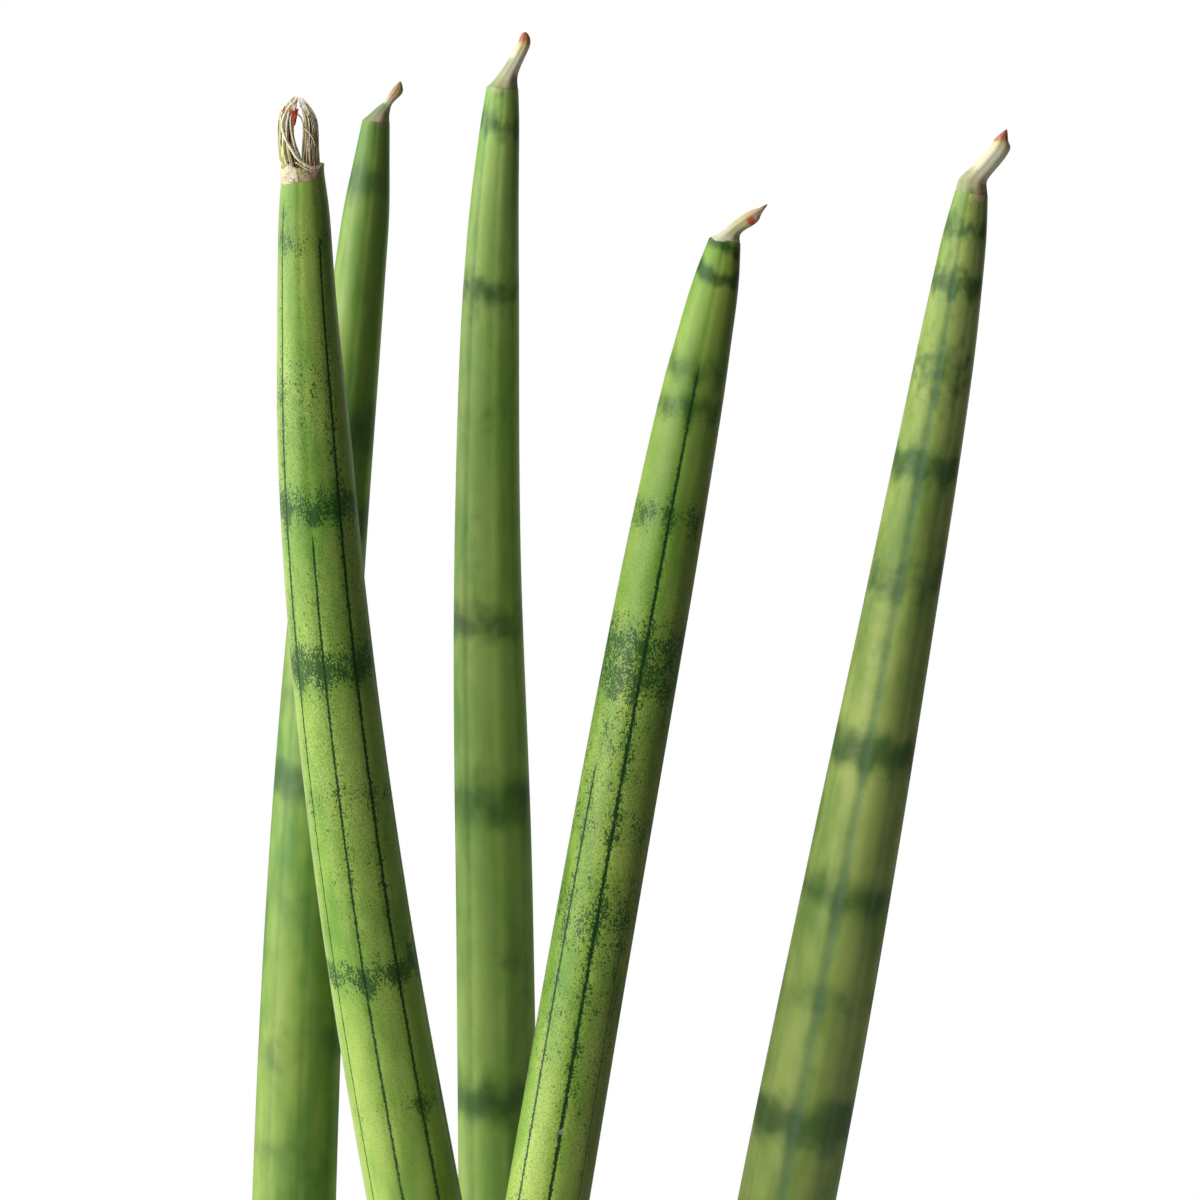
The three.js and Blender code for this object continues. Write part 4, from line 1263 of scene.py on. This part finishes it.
# %% [markdown]
# Colours of the crown: the fibres run from olive through straw to cream, some are brown; the husk
# is grey-green with dark slits between its strands, which are painted shade of the hollow behind; the
# dark sheets are olive-brown painted shade, and the flake is red. The collar is cream on the left,
# then comes a dark crack, a greenish tan part and a pinkish end. It keeps its upright coordinates in
# an attribute for that. All are rough and dull, as dead tissue is.

# %% Crown materials
# colours across the collar, from its left side at 0 to its right side at 1
COLLAR_STOPS = [
    (0.02, "cdc4a0"), (0.15, "d9d0ae"), (0.27, "e2d6ba"), (0.34, "ebe4cc"), (0.37, "d2c09c"),
    (0.385, "5f452c"), (0.41, "a89f6c"), (0.48, "c6bb88"), (0.62, "d6ca9a"), (0.69, "cbb088"),
    (0.71, "b27a5c"), (0.74, "e6b89c"), (0.84, "eed0b6"), (0.93, "b89a72")]
COLLAR_HALF = 0.006


def fibrous(name, stops, scale, lengthwise=0.12, shaded_slits=None):
    material, place = start_material(name)
    color = colours(noise(place, scale, 3, 0.55, (1, 1, lengthwise)), stops)
    # Slits: dark gaps painted between the strands, as painted shade of the hollow behind them.
    if shaded_slits:
        gaps = noise(place, 1200, 2, 0.5, (1, 1, 0.12))
        color = mixed(between(gaps, 0.57, 0.6), color, shaded_slits)
    relief = noise(place, 1500, 3, 0.6, (1, 1, 0.2))
    return shade(material, Base_Color=color, Roughness=0.8, Normal=bump(relief, 0.00008))


def torn_skin(name):
    material, place = start_material(name, "crown_space")
    across = part(place, "X") + weighed(noise(place, 420, 4, 0.65), 0.0045)
    color = colours((across + COLLAR_HALF) / (2 * COLLAR_HALF), COLLAR_STOPS)
    patches = noise(place, 700, 4, 0.7)
    color = mixed(between(patches, 0.46, 0.66) * 0.6, color, "a3976a")
    cells = add(place.tree, "TexVoronoi", "Distance", {"feature": "DISTANCE_TO_EDGE"}, Vector=place,
                Scale=520.0)
    cracks = between(cells, 0.05, 0.01) * between(noise(place, 260, 2), 0.5, 0.6)
    color = mixed(cracks, color, "4a3520")
    return shade(material, Base_Color=color, Roughness=0.8, Normal=bump(patches, 0.0004))


straw = fibrous("fibre_straw", [(0.34, "aab074"), (0.43, "e2d7a4"), (0.52, "fffaea"), (0.66, "ecdcae")],
                330, 0.6)
dress(fibres_pale, straw, "dry_tip", "dry_tip_front_left")
dress(fibres_brown, fibrous("fibre_brown", [(0.38, "7a5a36"), (0.6, "bda674")], 300, 0.6), "dry_tip")
# The husk's dark slits are painted shade.
dress(left_husk, fibrous("husk_green", [(0.36, "868e4c"), (0.5, "a6a86a"), (0.64, "d4d2a2")], 1300,
                         0.1, "44331f"), "dry_tip")
# The dark sheets' olive-brown is painted shade.
for shade_sheet in shade_sheets:
    dress(shade_sheet, fibrous("lining_" + shade_sheet.name[-4:], [(0.38, "6b5734"), (0.62, "b0a672")], 1500),
          "dry_tip")
dress(collar, torn_skin("collar_skin"), "dry_tip")
dress(flake, fibrous("flake_red", [(0.35, "cf452e"), (0.65, "ff9070")], 900, 0.4), "dry_tip")
dress(flap, fibrous("flap_pink", [(0.35, "d9b098"), (0.65, "f8e6da")], 700, 0.4), "dry_tip")

# %% [markdown]
# The pot is a plain clay flowerpot. It is raised from a disc, as a potter raises a wall: each step
# extrudes the free face and scales it to the next radius, up the outside, over the rim and down
# the inside to the floor. That leaves a closed wall. A Boolean modifier then cuts the drainage
# holes, and a Bevel modifier softens the edges.

# %% Pot
# (radius, height) in millimetres, from the underside up the outside and down the inside
POT_PROFILE = [(55.5, 0), (57, 1.5), (57.9, 6), (65, 45), (72.6, 88), (76.6, 110.8), (77, 112), (81, 112),
               (82, 114), (83.4, 130), (85, 147), (84, 149), (82, 150), (78.5, 150), (76.4, 147),
               (70, 115), (58, 55), (49.3, 11.5), (47.5, 10)]
POT_SIDES = 160
DRAINS = 3
DRAIN_RADIUS = 0.0055
DRAIN_CIRCLE = 0.028
DRAIN_DEPTH = 0.03
DRAIN_HEIGHT = 0.005


def raise_pot():
    radius, height = POT_PROFILE[0]
    pot = disc("clay_pot", POT_SIDES, radius * MM)
    edit(pot)
    for next_radius, next_height in POT_PROFILE[1:]:
        share = next_radius / radius
        extrude((0, 0, (next_height - height) * MM))
        resize((share, share, 1))
        radius, height = next_radius, next_height
    face_outwards()
    return pot


def drill(pot):
    cutters = []
    for k in range(DRAINS):
        angle = math.radians(90 + 360 / DRAINS * k)
        place = (DRAIN_CIRCLE * math.cos(angle), DRAIN_CIRCLE * math.sin(angle), DRAIN_HEIGHT)
        cutters.append(begin("drain", bpy.ops.mesh.primitive_cylinder_add, vertices=40,
                             radius=DRAIN_RADIUS, depth=DRAIN_DEPTH, location=place))
    cutter = join_pieces("drain_cutter", cutters)
    apply_modifier(pot, "Drain", "BOOLEAN", operation="DIFFERENCE", object=cutter, solver="EXACT")
    bpy.data.objects.remove(cutter)


clay_pot = raise_pot()
drill(clay_pot)
apply_modifier(clay_pot, "Edges", "BEVEL", width=0.0008, segments=3, limit_method="ANGLE",
               angle_limit=math.radians(25))
smooth(clay_pot, 35)
print("pot is", [round(v / MM, 1) for v in clay_pot.dimensions], "mm")

# %% [markdown]
# Unglazed clay is rough and uneven in colour. Fine turning lines run round it, and pale lime from
# the watering blooms in patches and along the foot. The lines are a noise stretched out level, and
# the bloom is a noise that is stronger low down.

# %% Clay
LOW_ON_POT = 0.06


def clay(name):
    material, place = start_material(name)
    color = mixed(between(noise(place, 22, 4, 0.6), 0.35, 0.68), "a8573a", "c4764f")
    grit = noise(place, 1300, 3, 0.7)
    color = mixed(between(grit, 0.5, 0.75) * 0.35, color, "e0a27c")
    lines = noise(place, 60, 3, 0.6, (0.06, 0.06, 14))
    color = mixed(between(lines, 0.4, 0.8) * 0.25, color, "8f4a30")
    low = between(part(place, "Z"), LOW_ON_POT, 0.0)
    bloom = between(noise(place, 30, 8, 0.72) + low * 0.13, 0.5, 0.76)
    color = mixed(bloom * 0.5, color, "dccab8")
    return shade(material, Base_Color=color, Roughness=0.88,
                 Normal=bump(grit * 0.3 + lines * 0.7, 0.0004))


dress(clay_pot, clay("terracotta"), "clay", "pot")

# %% [markdown]
# The soil is a coarse mix: dark crumbs with bark, grit and white perlite. Its body is a disc
# raised to the surface, whose top is inset again and again to give it rings, each a little
# higher, and two Displace modifiers with a coarse and a fine cloud make it crumbly.

# %% Soil
SOIL_LOW, SOIL_LEVEL = 0.01035, 0.132
SOIL_LOW_RADIUS, SOIL_RADIUS = 0.0486, 0.0729
SOIL_SIDES = 180
SOIL_RINGS = 42
SOIL_MOUND = 0.003
CRUMBLY_WITHIN = 0.985


def raise_soil():
    soil = disc("potting_soil", SOIL_SIDES, SOIL_LOW_RADIUS, location=(0, 0, SOIL_LOW))
    settle(soil)
    edit(soil)
    extrude((0, 0, SOIL_LEVEL - SOIL_LOW))
    share = SOIL_RADIUS / SOIL_LOW_RADIUS
    resize((share, share, 1), (0, 0, SOIL_LEVEL))
    width = SOIL_RADIUS * 0.98 / SOIL_RINGS
    for ring in range(SOIL_RINGS):
        bpy.ops.mesh.inset(thickness=width, depth=0)
        rise = SOIL_MOUND / SOIL_RINGS * (1.7 - 1.4 * ring / SOIL_RINGS)
        bpy.ops.transform.translate(value=(0, 0, rise))
    bpy.ops.mesh.poke()
    face_outwards()
    inside = [v.index for v in soil.data.vertices
              if v.co.z > SOIL_LEVEL - 1e-5 and v.co.xy.length < SOIL_RADIUS * CRUMBLY_WITHIN]
    soil.vertex_groups.new(name="surface").add(inside, 1.0, "REPLACE")
    return soil


def crumble(soil, name, size, strength):
    clouds = bpy.data.textures.new(name, "CLOUDS")
    clouds.noise_scale = size
    clouds.noise_depth = 3
    apply_modifier(soil, name, "DISPLACE", texture=clouds, strength=strength, mid_level=0.6,
                   direction="Z", vertex_group="surface", texture_coords="LOCAL")


potting_soil = raise_soil()
crumble(potting_soil, "coarse crumbs", 0.008, 0.004)
crumble(potting_soil, "fine crumbs", 0.0022, 0.0022)
smooth(potting_soil)
print("soil top at", round(max(v.co.z for v in potting_soil.data.vertices) / MM, 1), "mm")

# %% [markdown]
# Loose bits lie on the soil. One chip of each size is modelled: a cube or ball, the cubes
# subdivided, and all roughened. Copies, each with its own mesh, are then strewn over the surface,
# turned and scaled at random, clear of the leaves, and joined into one piece a kind.

# %% Bark, grit and perlite
STREWN_RADIUS = 0.070
LEAF_CLEARANCE = 0.0125
LEAF_FOOT_HEIGHT = 134
ABOVE_ALL = 0.2
soil_surface = BVHTree.FromObject(potting_soil, bpy.context.evaluated_depsgraph_get())
leaf_feet = [min(leaf["places"], key=lambda p: abs(p.z - LEAF_FOOT_HEIGHT)) * MM
             for leaf in LEAVES.values()]


def cube():
    bpy.ops.mesh.primitive_cube_add(size=1)


def ball():
    bpy.ops.mesh.primitive_ico_sphere_add(subdivisions=1, radius=0.5)


# Of each kind: the primitive, its cuts, and the chips' sizes and roughness in metres; how many
# copies there are, between which scales, how high they lie, and how far they tilt, in radians.
LOOSE_BITS = {
    "bark_chips": dict(primitive=cube, sizes=[(0.0055, 0.0032, 0.0014), (0.0038, 0.0026, 0.0011),
                                              (0.007, 0.0022, 0.0012)], roughness=0.0004, cuts=1,
                       chip_seed=0, seed=21, count=420, scales=(0.6, 1.25), lift=0.0003, tilt=0.45),
    "soil_grit": dict(primitive=ball, sizes=[(0.0022, 0.0018, 0.0014), (0.0016, 0.0015, 0.0013)],
                      roughness=0.00035, cuts=0, chip_seed=5, seed=22, count=900, scales=(0.5, 1.2),
                      lift=0.0002, tilt=3),
    "perlite": dict(primitive=ball, sizes=[(0.0026, 0.0023, 0.002), (0.0018, 0.0017, 0.0015)],
                    roughness=0.0003, cuts=0, chip_seed=9, seed=23, count=150, scales=(0.6, 1.2),
                    lift=0.0003, tilt=3),
}


def chip(name, primitive, size, roughness, seed, cuts):
    bit = begin(name, primitive)
    bit.scale = size
    settle(bit)
    edit(bit)
    if cuts:
        bpy.ops.mesh.subdivide(number_cuts=cuts, smoothness=0.6)
    bpy.ops.transform.vertex_random(offset=roughness, seed=seed)
    leave_edit()
    return bit


def soil_height(x, y):
    place = soil_surface.ray_cast(Vector((x, y, ABOVE_ALL)), Vector((0, 0, -1)))[0]
    return place.z if place else SOIL_LEVEL


def clear_of_leaves(x, y):
    return all(math.hypot(x - foot.x, y - foot.y) > LEAF_CLEARANCE for foot in leaf_feet)


def strew(name, primitive, sizes, roughness, cuts, chip_seed, seed, count, scales, lift, tilt):
    """Makes a chip of each size and strews copies of them over the soil."""
    bits = [chip("chip", primitive, size, roughness, chip_seed + k, cuts)
            for k, size in enumerate(sizes)]
    scatter = random.Random(seed)
    copies = []
    while len(copies) < count:
        radius = STREWN_RADIUS * math.sqrt(scatter.random())
        angle = scatter.uniform(0, 2 * math.pi)
        x, y = radius * math.cos(angle), radius * math.sin(angle)
        if not clear_of_leaves(x, y):
            continue
        copy = put("copy", scatter.choice(bits).data.copy())
        copy.scale = [scatter.uniform(*scales)] * 3
        copy.rotation_euler = (scatter.uniform(-tilt, tilt), scatter.uniform(-tilt, tilt),
                               scatter.uniform(0, 6.28))
        copy.location = (x, y, soil_height(x, y) + lift)
        copies.append(copy)
    for bit in bits:
        bpy.data.objects.remove(bit)
    whole = join_pieces(name, copies)
    smooth(whole, 50)
    return whole


strewn = {name: strew(name, **kind) for name, kind in LOOSE_BITS.items()}
print("strewn", {name: len(piece.data.polygons) for name, piece in strewn.items()})

# %% [markdown]
# Earth and bark are matt and dark, each chip of its own shade, which a noise of chip size gives.
# Perlite is white, foamy glass, and slightly stained by the soil.

# %% Soil materials
def earthy(name, dark, light, patch, grain, rough, depth):
    """patch and grain: patches per metre of the shades and of the crumbs. depth: of the relief."""
    material, place = start_material(name)
    color = mixed(between(noise(place, patch, 3, 0.6), 0.35, 0.65), dark, light)
    fine = noise(place, grain, 4, 0.7)
    color = mixed(between(fine, 0.45, 0.7) * 0.5, color, dark)
    return shade(material, Base_Color=color, Roughness=rough, Normal=bump(fine, depth))


dress(potting_soil, earthy("soil_crumb", "1c130c", "4a3626", 300, 1600, 0.95, 0.0008), "soil", "soil")
dress(strewn["bark_chips"], earthy("soil_bark", "3a2417", "86603f", 160, 1400, 0.85, 0.0004), "soil")
dress(strewn["soil_grit"], earthy("soil_grit", "2a1f16", "6e5a45", 240, 1800, 0.9, 0.0003), "soil")
dress(strewn["perlite"], earthy("soil_perlite", "b9b1a2", "f1eee6", 260, 1800, 0.8, 0.0003), "soil")

# %% [markdown]
# The rhizome creeps through the soil and carries the leaves. It stays the CAD piece, as the soil
# covers it, and gets a rough skin of pale orange-brown with darker patches.

# %% Rhizome
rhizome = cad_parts["rhizome"]
rhizome.data.materials.clear()
rhizome.data.materials.append(earthy("rhizome_skin", "8a5a2c", "d49a5c", 90, 700, 0.6, 0.0005))
print("rhizome finish", rhizome.data.materials[0].name)

# %% [markdown]
# The floor is a pale disc that fades out at its edge, so that no hard line shows where it ends. It
# is small enough to stay below the photograph's frame.

# %% Floor
FLOOR_SIDES = 128
FLOOR_RADIUS = 0.95
FLOOR_HEIGHT = -0.0002
FADES_FROM, FADES_TO = 0.45, 0.93

floor = disc("studio_floor", FLOOR_SIDES, FLOOR_RADIUS, location=(0, 0, FLOOR_HEIGHT))
floor_material, floor_place = start_material("pale_floor")
reach = vectors("LENGTH", "Value", floor_place)
shade(floor_material, Base_Color=(0.85, 0.85, 0.84, 1), Roughness=0.8,
      Alpha=between(reach, FADES_TO, FADES_FROM))
floor.data.materials.append(floor_material)
print("floor is", round(floor.dimensions.x, 2), "m across")
